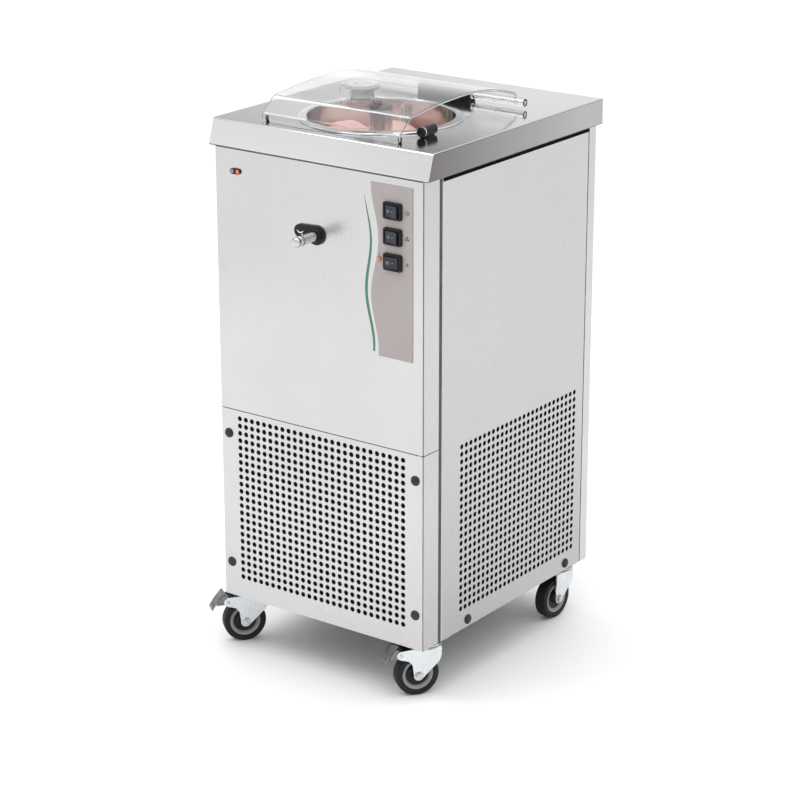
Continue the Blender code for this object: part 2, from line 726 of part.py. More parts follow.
# ---------------------------------------------------------------- bowl, drain and paddle
def make_bowl():
    """The bowl with its rolled flange on the worktop and the raised centre tube for the shaft."""
    inner = BOWL_RADIUS
    outer = BOWL_RADIUS + BOWL_WALL
    floor = BOWL_FLOOR
    rim = TOP + GAP
    bore = SHAFT_RADIUS + GAP
    top = TOP - BOWL_TUBE_DROP
    profile = [
        (inner + 0.004, rim + BOWL_FLANGE_HEIGHT),
        (inner + BOWL_FLANGE - 0.003, rim + BOWL_FLANGE_HEIGHT),
        (inner + BOWL_FLANGE, rim + 0.001),
        (inner + BOWL_FLANGE, rim),
        (outer, rim),
        (outer, floor + 0.006),
        (outer - 0.008, floor - BOWL_WALL),
        (bore, floor - BOWL_WALL),
        (bore, top),
        (BOWL_TUBE_RADIUS, top),
        (BOWL_TUBE_RADIUS, floor),
        (inner - 0.008, floor),
        (inner, floor + 0.008),
        (inner, rim - 0.002),
    ]
    bowl = turned("bowl", profile, 32, (0, BOWL_BACK, 0))
    hole = rod("bowl_drain_hole", (0, BOWL_BACK - inner + 0.012, SPOUT),
               (0, BOWL_BACK - outer - 0.01, SPOUT),
               PLUG_RADIUS + GAP, 16)
    cut(bowl, hole)
    return bowl


def make_insulation():
    """The foam jacket round the coil, open at the top, with the drain's passage."""
    inner = INSULATION_RADIUS - INSULATION_WALL
    high = PANEL_TOP - 2 * GAP
    bore = SHAFT_RADIUS + 0.004
    profile = [
        (inner, high), (INSULATION_RADIUS, high), (INSULATION_RADIUS, INSULATION_BOTTOM),
        (bore, INSULATION_BOTTOM), (bore, BOWL_FLOOR - BOWL_WALL - GAP),
        (inner, BOWL_FLOOR - BOWL_WALL - GAP),
    ]
    jacket = turned("bowl_insulation", profile, 32, (0, BOWL_BACK, 0))
    passage = rod("insulation_drain_hole", (0, BOWL_BACK - BOWL_RADIUS + 0.01, SPOUT),
                  (0, BOWL_BACK - INSULATION_RADIUS - 0.02, SPOUT), DRAIN_OUTER + GAP, 16)
    cut(jacket, passage)
    notch = box("insulation_pipe_notch", (-0.014, BOWL_BACK + inner - 0.004, INSULATION_BOTTOM - 0.01),
                (0.014, BOWL_BACK + INSULATION_RADIUS + 0.01, high + 0.01))
    cut(jacket, notch)
    return jacket


def coil_point(share):
    """A point on the evaporator's helix, from its bottom end (0) to its top end (1)."""
    low = SPOUT + DRAIN_OUTER + COIL_TUBE + 0.006
    high = TOP - 0.030
    angle = math.radians(90) + 2 * math.pi * COIL_TURNS * share
    radius = (COIL_INNER + COIL_TUBE + GAP) / math.cos(math.pi / COIL_STEPS)
    return Vector((radius * math.cos(angle), BOWL_BACK + radius * math.sin(angle),
                   low + (high - low) * share))


def make_coil():
    steps = COIL_TURNS * COIL_STEPS
    return tube("evaporator_coil", [coil_point(i / steps) for i in range(steps + 1)], COIL_TUBE, 1)


def make_drain():
    """The drain tube from the bowl's wall through the panel, the plug in it and the escutcheon."""
    start = BOWL_BACK - BOWL_RADIUS - BOWL_WALL - GAP
    run = start + DRAIN_REACH
    tube_body = turned(
        "drain_tube",
        [(DRAIN_INNER, run), (DRAIN_OUTER - 0.001, run), (DRAIN_OUTER, run - 0.001), (DRAIN_OUTER, 0),
         (DRAIN_INNER, 0)],
        20, (0, start, SPOUT), (math.pi / 2, 0, 0),
    )
    tip = BOWL_BACK - BOWL_RADIUS + 0.0005
    length = tip + DRAIN_REACH
    plug = turned(
        "drain_plug",
        [(0, length + PLUG_BUTTON), (DRAIN_OUTER - 0.003, length + PLUG_BUTTON),
         (DRAIN_OUTER, length + PLUG_BUTTON - 0.003), (DRAIN_OUTER, length + 0.005),
         (DRAIN_OUTER - 0.0015, length + 0.0035), (DRAIN_OUTER, length + 0.002),
         (DRAIN_OUTER, length + 2 * GAP), (PLUG_RADIUS, length + 2 * GAP), (PLUG_RADIUS, 0), (0, 0)],
        20, (0, tip, SPOUT), (math.pi / 2, 0, 0),
    )
    lobe = (-ESCUTCHEON_SPAN, ESCUTCHEON_RISE)
    lean = math.degrees(math.asin((ESCUTCHEON_HUB - ESCUTCHEON_LOBE) / ESCUTCHEON_SPAN))
    outline = arc((0, 0), ESCUTCHEON_HUB, -90 - lean, 90 + lean - 8, 12) + arc(lobe, ESCUTCHEON_LOBE,
        90 + lean - 8, 270 - lean, 8)
    escutcheon = plate("drain_escutcheon", outline, ESCUTCHEON_HEIGHT, (0, -GAP - ESCUTCHEON_HEIGHT, SPOUT))
    bore = rod("escutcheon_bore", (0, 0.01, SPOUT), (0, -0.02, SPOUT), DRAIN_OUTER + GAP, 20)
    cut(escutcheon, bore)
    return tube_body, plug, escutcheon


def make_paddle():
    """The hub over the centre tube, with three arms that sweep the floor and scrape the wall."""
    low = BOWL_FLOOR + BLADE_CLEARANCE
    high = TOP + HUB_RISE
    inner = HUB_RADIUS - HUB_WALL
    hub = turned(
        "paddle",
        [(0, high), (HUB_RADIUS - 0.003, high), (HUB_RADIUS, high - 0.003), (HUB_RADIUS, low),
         (inner, low), (inner, TOP - BOWL_TUBE_DROP + 0.012), (0, TOP - BOWL_TUBE_DROP + 0.012)],
        20, (0, BOWL_BACK, 0),
    )
    reach = BOWL_RADIUS - BLADE_CLEARANCE
    for i, angle in enumerate(BLADE_ANGLES):
        bm = bmesh.new()
        sweep = put_box(bm, (HUB_RADIUS - 0.0015, -BLADE_THICKNESS / 2, low),
                        (reach - 0.008, BLADE_THICKNESS / 2, low + SWEEP_HEIGHT))
        arm = add_mesh(f"paddle_arm_{i}", bm, (0, BOWL_BACK, 0))
        arm.rotation_euler = (0, 0, math.radians(angle))
        bm = bmesh.new()
        put_box(bm, (reach - SCRAPER_WIDTH, -BLADE_THICKNESS / 2 - 0.0004, low + SWEEP_HEIGHT / 2),
                (reach, BLADE_THICKNESS / 2 + 0.0004, TOP - SCRAPER_TOP))
        scraper = add_mesh(f"paddle_scraper_{i}", bm, (0, BOWL_BACK, 0))
        scraper.rotation_euler = (0, 0, math.radians(angle))
        join(hub, arm)
        join(hub, scraper)
    return hub


# ---------------------------------------------------------------- drive
def make_drive():
    """The bracket on the shelf rails, the gearbox and motor under it, and the vertical shaft."""
    shelf = HALF - SHEET - 3 * GAP - FRAME_SHEET
    low = BRACKET_TOP - BRACKET_SHEET
    bracket = box("drive_bracket", (-shelf, BOWL_BACK - BRACKET_DEPTH / 2, low),
                  (shelf, BOWL_BACK + BRACKET_DEPTH / 2, BRACKET_TOP))
    bore = rod("bracket_bore", (0, BOWL_BACK, low - 0.01), (0, BOWL_BACK, BRACKET_TOP + 0.01),
               SHAFT_RADIUS + 0.004, 20)
    cut(bracket, bore)
    half = GEARBOX_SIZE / 2
    top = low - GAP
    gearbox = box("gearbox", (-half, BOWL_BACK - half, top - GEARBOX_HEIGHT), (half, BOWL_BACK + half, top))
    edge = gearbox.modifiers.new("edges", "BEVEL")
    edge.width = 0.008
    edge.segments = 1
    cut(gearbox, rod("gearbox_bore", (0, BOWL_BACK, top - 0.050), (0, BOWL_BACK, top + 0.01),
                     SHAFT_RADIUS + GAP, 20))
    floor = top - GEARBOX_HEIGHT - GAP
    motor = turned(
        "motor",
        [(0, 0), (MOTOR_RADIUS, 0), (MOTOR_RADIUS, -0.012), (MOTOR_RADIUS - 0.005, -0.014),
         (MOTOR_RADIUS - 0.005, 0.014 - MOTOR_LENGTH), (MOTOR_RADIUS, 0.012 - MOTOR_LENGTH),
         (MOTOR_RADIUS - 0.012, -MOTOR_LENGTH), (0, -MOTOR_LENGTH)],
        24, (0, BOWL_BACK, floor),
    )
    shaft = rod("drive_shaft", (0, 0, top - 0.050 + GAP), (0, 0, TOP - BOWL_TUBE_DROP + 0.012 - GAP),
                SHAFT_RADIUS, 20, (0, BOWL_BACK, 0))
    return bracket, gearbox, motor, shaft


# ---------------------------------------------------------------- refrigeration and electrics
def make_condenser():
    """The finned core in its end plates, standing on the pan behind the front grille."""
    low = PAN_TOP + GAP
    half = CONDENSER_WIDTH / 2
    core = box("condenser", (-half, CONDENSER_FRONT + 0.004, low),
               (half, CONDENSER_FRONT + CONDENSER_DEPTH, low + CONDENSER_HEIGHT))
    bm = bmesh.new()
    pitch = CONDENSER_HEIGHT / (CONDENSER_FINS + 1)
    for i in range(CONDENSER_FINS):
        level = low + pitch * (i + 0.75)
        put_box(bm, (-half + 0.012, CONDENSER_FRONT - 0.01, level),
                (half - 0.012, CONDENSER_FRONT + 0.012, level + pitch * 0.5))
    cut(core, add_mesh("condenser_grooves", bm))
    return core


def make_fan_group():
    """The shroud behind the condenser with its motor strut, the motor and the fan."""
    low = PAN_TOP + GAP
    half = CONDENSER_WIDTH / 2
    front = SHROUD_FRONT
    back = front + SHROUD_DEPTH
    shroud = box("fan_shroud", (-half, front, low), (half, back, low + CONDENSER_HEIGHT))
    cut(shroud, rod("shroud_ring", (0, front - 0.01, FAN_LEVEL), (0, back + 0.01, FAN_LEVEL),
                    FAN_RADIUS + 0.006, 32))
    start = back + 0.002
    strut = box("shroud_strut", (-0.012, back - 0.003, low), (0.012, back + 0.002, low + CONDENSER_HEIGHT))
    join(shroud, strut)
    cut(shroud, rod("strut_bore", (0, back - 0.02, FAN_LEVEL), (0, back + 0.02, FAN_LEVEL), 0.0065, 16))
    motor = rod("fan_motor", (0, start + GAP, FAN_LEVEL), (0, start + GAP + FAN_MOTOR_LENGTH, FAN_LEVEL),
                FAN_MOTOR_RADIUS, 20)
    shaft = rod("fan_motor_shaft", (0, back - 0.009, FAN_LEVEL), (0, start + 0.002, FAN_LEVEL), 0.005, 12)
    join(motor, shaft)
    middle = front + SHROUD_DEPTH / 2 - 0.002
    fan = turned(
        "fan",
        [(0, FAN_DEPTH / 2), (FAN_HUB - 0.004, FAN_DEPTH / 2), (FAN_HUB, FAN_DEPTH / 2 - 0.004),
         (FAN_HUB, -FAN_DEPTH / 2), (0, -FAN_DEPTH / 2)],
        20, (0, middle, FAN_LEVEL), (math.pi / 2, 0, 0),
    )
    for i in range(FAN_BLADES):
        bm = bmesh.new()
        put_box(bm, (FAN_HUB - 0.004, -0.022, -0.001), (FAN_RADIUS, 0.022, 0.001))
        twist = Matrix.Rotation(math.radians(FAN_BLADE_PITCH), 4, "X")
        turn = Matrix.Rotation(2 * math.pi * i / FAN_BLADES, 4, "Z")
        bmesh.ops.transform(bm, matrix=turn @ twist, verts=bm.verts)
        blade = add_mesh(f"fan_blade_{i}", bm, (0, middle, FAN_LEVEL))
        blade.rotation_euler = (math.pi / 2, 0, 0)
        join(fan, blade)
    cut(fan, rod("fan_bore", (0, middle + 0.001, FAN_LEVEL), (0, middle + 0.04, FAN_LEVEL), 0.0053, 12))
    return shroud, motor, fan


def make_compressor():
    """The hermetic shell on its foot plate."""
    low = PAN_TOP + GAP
    shell = turned(
        "compressor",
        [(0, COMPRESSOR_HEIGHT), (COMPRESSOR_RADIUS * 0.45, COMPRESSOR_HEIGHT - 0.006),
         (COMPRESSOR_RADIUS * 0.85, COMPRESSOR_HEIGHT - 0.030),
         (COMPRESSOR_RADIUS, COMPRESSOR_HEIGHT - 0.060),
         (COMPRESSOR_RADIUS, 0.080), (COMPRESSOR_RADIUS * 0.92, 0.030), (COMPRESSOR_RADIUS * 0.6, 0.012),
         (0, 0.012)],
        24, (COMPRESSOR_X, COMPRESSOR_BACK, low),
    )
    foot = COMPRESSOR_RADIUS
    plate_body = box("compressor_feet", (COMPRESSOR_X - foot, COMPRESSOR_BACK - foot, low),
                     (COMPRESSOR_X + foot, COMPRESSOR_BACK + foot, low + 0.014))
    join(shell, plate_body)
    return shell


def make_pipes():
    """Suction line from the coil, discharge line to the condenser, liquid line with its drier."""
    low = PAN_TOP + GAP
    shell_top = low + COMPRESSOR_HEIGHT
    bottom = coil_point(0)
    top = coil_point(1)
    clear = COIL_TUBE + 0.0016
    back = BOWL_BACK + INSULATION_RADIUS + PIPE_RADIUS + 0.012
    suction = tube("suction_pipe", smooth_path([
        (bottom.x, bottom.y + clear, bottom.z),
        (bottom.x, back, bottom.z - 0.020),
        (bottom.x, back, bottom.z - 0.160),
        (COMPRESSOR_X * 0.5, COMPRESSOR_BACK - 0.010, shell_top + 0.170),
        (COMPRESSOR_X, COMPRESSOR_BACK, shell_top + 0.070),
        (COMPRESSOR_X, COMPRESSOR_BACK, shell_top + GAP),
    ]), PIPE_RADIUS, 1)
    rack = CONDENSER_FRONT + CONDENSER_DEPTH / 2
    crown = low + CONDENSER_HEIGHT
    side = COMPRESSOR_X - COMPRESSOR_RADIUS - PIPE_RADIUS - GAP
    discharge = tube("discharge_pipe", smooth_path([
        (side, COMPRESSOR_BACK, low + 0.100),
        (side - 0.018, COMPRESSOR_BACK - 0.080, low + 0.140),
        (side - 0.012, COMPRESSOR_BACK - 0.200, crown + 0.030),
        (-CONDENSER_WIDTH / 2 + 0.020, rack + 0.030, crown + 0.055),
        (-CONDENSER_WIDTH / 2 + 0.020, rack, crown + 0.045),
        (-CONDENSER_WIDTH / 2 + 0.020, rack, crown + 0.025),
        (-CONDENSER_WIDTH / 2 + 0.020, rack, crown + GAP),
    ]), PIPE_RADIUS, 1)
    liquid_x = CONDENSER_WIDTH / 2 - 0.020
    drier_low = crown + 0.060
    liquid = tube("liquid_line", smooth_path([
        (liquid_x, rack, crown + GAP),
        (liquid_x, rack, drier_low),
        (liquid_x, rack, drier_low + DRIER_LENGTH),
        (liquid_x + 0.030, rack + 0.080, drier_low + 0.150),
        (liquid_x + 0.040, back - 0.050, drier_low + 0.240),
        (liquid_x + 0.030, back, drier_low + 0.330),
        (0.060, back + 0.006, top.z - 0.060),
        (top.x + 0.004, back, top.z - 0.010),
        (top.x, top.y + clear, top.z),
    ]), PIPE_RADIUS, 1)
    drier = turned(
        "liquid_drier",
        [(0, DRIER_LENGTH), (PIPE_RADIUS, DRIER_LENGTH), (DRIER_RADIUS, DRIER_LENGTH - 0.012),
         (DRIER_RADIUS, 0.012), (PIPE_RADIUS, 0), (0, 0)],
        12, (liquid_x, rack, drier_low),
    )
    join(liquid, drier)
    return suction, discharge, liquid


def make_electrics():
    """The control box on the back panel and the mains inlet below it."""
    back = BODY_DEPTH - SHEET - GAP
    low = UNDER + BOX_LEVEL
    control = box("electric_box", (BOX_X - BOX_WIDTH / 2, back - BOX_DEPTH, low),
                  (BOX_X + BOX_WIDTH / 2, back, low + BOX_HEIGHT))
    edge = control.modifiers.new("edges", "BEVEL")
    edge.width = 0.003
    edge.segments = 1
    level = UNDER + INLET_LEVEL
    inlet = turned(
        "power_inlet",
        [(0, INLET_LENGTH), (INLET_RADIUS * 0.6, INLET_LENGTH), (INLET_RADIUS * 0.75, 0.010),
         (INLET_RADIUS, 0.008), (INLET_RADIUS, 0), (INLET_RADIUS * 0.7, 0), (INLET_RADIUS * 0.7, -0.014),
         (0, -0.014)],
        16, (INLET_X, BODY_DEPTH + GAP, level), (-math.pi / 2, 0, 0),
    )
    return control, inlet


# ---------------------------------------------------------------- lid
def roof_height(back):
    """Height of the lid's outer face above the worktop: two half parabolas that meet at the crest."""
    end = ROOF_FRONT if back < ROOF_CREST[0] else ROOF_BACK
    fall = ROOF_CREST[1] - end[1]
    share = (back - ROOF_CREST[0]) / (end[0] - ROOF_CREST[0])
    return ROOF_CREST[1] - fall * share * share


def lid_profile():
    """The lid's outer face from the lip to the rear edge, as (back, height) points."""
    points = [(LID_FRONT, LID_LIFT), (LID_FRONT, LIP_TOP)]
    for i in range(ROOF_STEPS + 1):
        back = ROOF_FRONT[0] + (ROOF_CREST[0] - ROOF_FRONT[0]) * i / ROOF_STEPS
        points.append((back, roof_height(back)))
    for i in range(1, ROOF_STEPS + 1):
        back = ROOF_CREST[0] + (ROOF_BACK[0] - ROOF_CREST[0]) * i / ROOF_STEPS
        points.append((back, roof_height(back)))
    points.append((HINGE_BACK + HINGE_BAR / 2, HINGE_LEVEL))
    return points


def make_lid():
    """The bent clear sheet with its two hinge bars, bored for the pin and notched at the block."""
    outline = [(-LID_HALF_WIDTH, back, TOP + high) for back, high in lid_profile()]
    lid = sheet("lid_cover", outline, (2 * LID_HALF_WIDTH, 0, 0), LID_SHEET)
    clear = 0.001
    for side in (-1, 1):
        near = side * (HINGE_BLOCK_HALF + clear)
        far = side * HINGE_BAR_END
        bar = box(
            f"hinge_bar_{side}",
            (min(near, far), HINGE_BACK - HINGE_BAR / 2, TOP + HINGE_LEVEL - HINGE_BAR / 2),
            (max(near, far), HINGE_BACK + HINGE_BAR / 2, TOP + HINGE_LEVEL + HINGE_BAR / 2),
        )
        join(lid, bar)
    notch = box("lid_notch", (-HINGE_BLOCK_HALF - clear, HINGE_BACK - HINGE_BLOCK_DEPTH / 2 - clear,
                              TOP - 0.01),
                (HINGE_BLOCK_HALF + clear, ROOF_BACK[0] + 0.03, TOP + 0.08))
    cut(lid, notch)
    bore = rod("lid_pin_bore", (-HINGE_BAR_END - 0.01, HINGE_BACK, TOP + HINGE_LEVEL),
               (HINGE_BAR_END + 0.01, HINGE_BACK, TOP + HINGE_LEVEL), HINGE_PIN_RADIUS + GAP, 12)
    cut(lid, bore)
    hole = rod("lid_chute_hole", (0, CHUTE_BACK, TOP + 0.02), (0, CHUTE_BACK, TOP + 0.08),
               CHUTE_OUTER + GAP, 32)
    cut(lid, hole)
    return lid


def make_hinge():
    block = box("hinge_block", (-HINGE_BLOCK_HALF, HINGE_BACK - HINGE_BLOCK_DEPTH / 2, TOP + GAP),
                (HINGE_BLOCK_HALF, HINGE_BACK + HINGE_BLOCK_DEPTH / 2, TOP + HINGE_BLOCK_HEIGHT))
    edge = block.modifiers.new("edges", "BEVEL")
    edge.width = 0.004
    edge.segments = 2
    cut(block, rod("block_bore", (-0.2, HINGE_BACK, TOP + HINGE_LEVEL),
                   (0.2, HINGE_BACK, TOP + HINGE_LEVEL),
                   HINGE_PIN_RADIUS + GAP, 12))
    pin = rod("hinge_pin", (-HINGE_BAR_END + 0.002, HINGE_BACK, TOP + HINGE_LEVEL),
              (HINGE_BAR_END - 0.002, HINGE_BACK, TOP + HINGE_LEVEL), HINGE_PIN_RADIUS, 12)
    return block, pin


def make_bumper(side):
    name = "lid_bumper_right" if side > 0 else "lid_bumper_left"
    middle = side * (LID_HALF_WIDTH - BUMPER_SIZE / 2 - 0.002)
    front = LID_FRONT + LID_SHEET + GAP
    return box(name, (middle - BUMPER_SIZE / 2, front, TOP + GAP),
               (middle + BUMPER_SIZE / 2, front + BUMPER_SIZE, TOP + BUMPER_HEIGHT))


def make_chute():
    """The flanged filling tube fixed in the lid's roof."""
    profile = [
        (CHUTE_INNER, CHUTE_TOP), (CHUTE_FLANGE - 0.001, CHUTE_TOP), (CHUTE_FLANGE, CHUTE_TOP - 0.001),
        (CHUTE_FLANGE, CHUTE_TOP - CHUTE_FLANGE_THICKNESS),
        (CHUTE_OUTER, CHUTE_TOP - CHUTE_FLANGE_THICKNESS),
        (CHUTE_OUTER, CHUTE_BOTTOM), (CHUTE_INNER, CHUTE_BOTTOM),
    ]
    return turned("filling_chute", profile, 28, (0, CHUTE_BACK, TOP))


def make_chute_cap():
    """The loose cap: a disc on the flange, a skirt down the tube and a bent pull tab."""
    base = CHUTE_TOP + GAP
    cap = turned(
        "chute_cap",
        [(0, base + CAP_THICKNESS), (CAP_DISC, base + CAP_THICKNESS), (CAP_DISC, base),
         (CAP_SKIRT, base), (CAP_SKIRT, base - CAP_SKIRT_DEPTH),
         (CAP_SKIRT - CAP_WALL, base - CAP_SKIRT_DEPTH),
         (CAP_SKIRT - CAP_WALL, base), (0, base)],
        28, (0, CHUTE_BACK, TOP),
    )
    outer = TAB_REACH
    tab_outline = [(CAP_DISC - 0.004, base + CAP_THICKNESS), (CAP_DISC - 0.004, base),
                   (outer - CAP_WALL, base),
                   (outer + 0.006 - CAP_WALL, base - TAB_DROP), (outer + 0.006, base - TAB_DROP),
                   (outer, base + CAP_THICKNESS)]
    tab = plate("cap_tab", tab_outline, TAB_WIDTH, (0, CHUTE_BACK, TOP))
    for vert in tab.data.vertices:
        vert.co.y -= TAB_WIDTH / 2
    tab.rotation_euler = (0, 0, math.radians(TAB_ANGLE))
    join(cap, tab)
    return cap


def make_sensor():
    """The lid sensor: a round black housing on a low saddle beside the lid."""
    level = TOP + SENSOR_RADIUS + 0.001
    body = rod("lid_sensor", (SENSOR_X, SENSOR_START, level),
               (SENSOR_X, SENSOR_START + SENSOR_LENGTH, level), SENSOR_RADIUS, 16)
    saddle = box("sensor_saddle", (SENSOR_X - SENSOR_RADIUS * 0.6, SENSOR_START + 0.006, TOP + GAP),
                 (SENSOR_X + SENSOR_RADIUS * 0.6, SENSOR_START + SENSOR_LENGTH - 0.004, level))
    join(body, saddle)
    return body


# ---------------------------------------------------------------- castors
def castor_place(name):
    x = (HALF - CASTOR_INSET_X) * (-1 if name.endswith("left") else 1)
    y = CASTOR_INSET_Y if name.startswith("front") else BODY_DEPTH - CASTOR_INSET_Y
    return x, y


def castor_turn(name):
    """Turns a fork's own +X, the side its wheel trails on, to where the castor has settled."""
    return math.pi + math.radians(CASTOR_HEADINGS[name])


def make_castor_mount(name):
    """The fixed upper race with its stud through the pan and the nut on top."""
    x, y = castor_place(name)
    nut = FRAME_SHEET + 2 * GAP
    profile = [
        (0, nut + NUT_HEIGHT), (NUT_RADIUS, nut + NUT_HEIGHT), (NUT_RADIUS, nut), (STUD_RADIUS, nut),
        (STUD_RADIUS, 0), (RACE_RADIUS, 0), (RACE_RADIUS, -RACE_HEIGHT * 0.4),
        (RACE_RADIUS - 0.004, -RACE_HEIGHT),
        (0, -RACE_HEIGHT),
    ]
    return turned(f"castor_mount_{name}", profile, 16, (x, y, UNDER))


def cheek_outline(braked):
    """One fork cheek, from the swivel end round the axle lobe, as (along, up) points."""
    axle = (CASTOR_TRAIL, -AXLE_DROP)
    lobe = 0.009
    top = FORK_TOP
    lead = -0.021
    rear = CASTOR_TRAIL + 0.008
    points = [(lead, top), (lead, top - 0.024), (lead + 0.004, top - 0.030)]
    points += arc(axle, lobe, 215, 360, 5)
    points += [(rear, -0.033)]
    if braked:
        points += [(rear + 0.004, BRAKE_PIVOT[1] - BRAKE_LOBE - 0.001)]
        points += arc(BRAKE_PIVOT, BRAKE_LOBE, -80, 90, 5)
        points += [(rear + 0.004, BRAKE_PIVOT[1] + BRAKE_LOBE + 0.001)]
    points += [(rear, top)]
    return points


def make_fork(name):
    """The swivelling fork: lower race plate, two cheeks and the axle bolt through them."""
    x, y = castor_place(name)
    turn = castor_turn(name)
    braked = name in BRAKED
    crown = box(f"castor_fork_{name}", (-0.021, -CHEEK_OUTER, FORK_TOP - FORK_SHEET),
                (CASTOR_TRAIL + 0.008, CHEEK_OUTER, FORK_TOP))
    crown.location = (x, y, UNDER)
    crown.rotation_euler = (0, 0, turn)
    extras = []
    for side in (-1, 1):
        start = CHEEK_INNER if side > 0 else -CHEEK_OUTER
        cheek = plate(f"cheek_{name}_{side}", cheek_outline(braked), FORK_SHEET)
        for vert in cheek.data.vertices:
            vert.co.y += start
        extras.append(cheek)
    head = CHEEK_OUTER + BOLT_HEAD_HEIGHT
    extras.append(rod(f"axle_{name}", (CASTOR_TRAIL, -head, -AXLE_DROP), (CASTOR_TRAIL, head, -AXLE_DROP),
                      AXLE_RADIUS, 12))
    for side in (-1, 1):
        extras.append(rod(f"bolt_{name}_{side}", (CASTOR_TRAIL, side * (CHEEK_OUTER - 0.0005), -AXLE_DROP),
                          (CASTOR_TRAIL, side * head, -AXLE_DROP), BOLT_HEAD, 6))
    if braked:
        along, up = BRAKE_PIVOT
        extras.append(rod(f"brake_pin_{name}", (along, -CHEEK_OUTER - 0.001, up),
                          (along, CHEEK_OUTER + 0.001, up), 0.003, 10))
    extras.append(rod(f"race_{name}", (0, 0, FORK_TOP - FORK_SHEET * 0.5), (0, 0, FORK_TOP),
                      RACE_RADIUS - 0.001, 16))
    for extra in extras:
        extra.location = (x, y, UNDER)
        extra.rotation_euler = (0, 0, turn)
        join(crown, extra)
    return crown


def make_wheel(name):
    """Tyre, rim ring, dished web and hub in one turned solid about the axle."""
    x, y = castor_place(name)
    turn = castor_turn(name)
    half = WHEEL_WIDTH / 2
    ring = WHEEL_RADIUS - 0.010
    bore = AXLE_RADIUS + GAP
    side = [
        (WHEEL_RADIUS, half - 0.004), (WHEEL_RADIUS - 0.003, half), (ring - 0.007, half - 0.001),
        (ring - 0.010, half - 0.007), (0.012, half - 0.007), (0.010, half + 0.001), (bore, half + 0.001),
    ]
    profile = list(reversed(side)) + [(r, -z) for r, z in side]
    wheel = turned(
        f"castor_wheel_{name}", profile, WHEEL_STEPS,
        (x + CASTOR_TRAIL * math.cos(turn), y + CASTOR_TRAIL * math.sin(turn), UNDER - AXLE_DROP),
        (math.pi / 2, 0, turn),
    )
    return wheel


def make_pedal(name):
    """The brake pedal: a barrel on the pin between the cheeks and a plate out past them."""
    x, y = castor_place(name)
    turn = castor_turn(name)
    along, up = BRAKE_PIVOT
    place = Vector((x, y, UNDER)) + Matrix.Rotation(turn, 3, "Z") @ Vector((along, 0, up))
    inner = CHEEK_INNER - GAP
    barrel = turned(
        f"brake_pedal_{name}",
        [(0.003 + GAP, inner), (BRAKE_LOBE - 0.001, inner), (BRAKE_LOBE - 0.001, -inner),
         (0.003 + GAP, -inner)],
        12, place, (math.pi / 2, 0, turn),
    )
    top = Vector((PEDAL_TOP[0] - along, PEDAL_TOP[1] - up))
    tip = Vector((PEDAL_TIP[0] - along, PEDAL_TIP[1] - up))
    run = (tip - top).normalized()
    across = Vector((-run.y, run.x)) * PEDAL_SHEET
    corners = [top, top + across, tip + across, tip]
    blade = plate(f"pedal_blade_{name}", [tuple(c) for c in corners], PEDAL_WIDTH)
    for vert in blade.data.vertices:
        vert.co.y -= PEDAL_WIDTH / 2
    middle = (top + tip) / 2
    web_outline = [(0.0045, 0.004), (0.0045, -0.004), (middle.x + 0.003, middle.y - 0.004),
                   (middle.x + 0.001, middle.y + 0.006)]
    web = plate(f"pedal_web_{name}", web_outline, 2 * inner - 0.002)
    for vert in web.data.vertices:
        vert.co.y -= inner - 0.001
    rest = math.atan2(-AXLE_DROP - up, CASTOR_TRAIL - along) + math.radians(BRAKE_TRAVEL)
    shoe_outline = []
    for radius, spread in ((0.005, -35), (SHOE_REACH, -9), (SHOE_REACH, 9), (0.005, 35)):
        angle = rest + math.radians(spread)
        shoe_outline.append((radius * math.cos(angle), radius * math.sin(angle)))
    shoe = plate(f"brake_shoe_{name}", shoe_outline, 2 * inner - 0.004)
    for vert in shoe.data.vertices:
        vert.co.y -= inner - 0.002
    for extra in (web, blade, shoe):
        extra.location = place
        extra.rotation_euler = (0, 0, turn)
        join(barrel, extra)
    return barrel


# ---------------------------------------------------------------- assembly
def centre_on_footprint():
    """Moves the empty so that the origin lies under the middle of the machine's box."""
    bpy.context.view_layer.update()
    graph = bpy.context.evaluated_depsgraph_get()
    low = Vector((1e9, 1e9))
    high = Vector((-1e9, -1e9))
    for obj in PARTS.objects:
        if obj.type != "MESH":
            continue
        seen = obj.evaluated_get(graph)
        mesh = seen.to_mesh()
        for vert in mesh.vertices:
            point = seen.matrix_world @ vert.co
            low = Vector((min(low.x, point.x), min(low.y, point.y)))
            high = Vector((max(high.x, point.x), max(high.y, point.y)))
        seen.to_mesh_clear()
    middle = (low + high) / 2
    MACHINE.location = (-middle.x, -middle.y, 0)
    bpy.context.view_layer.update()


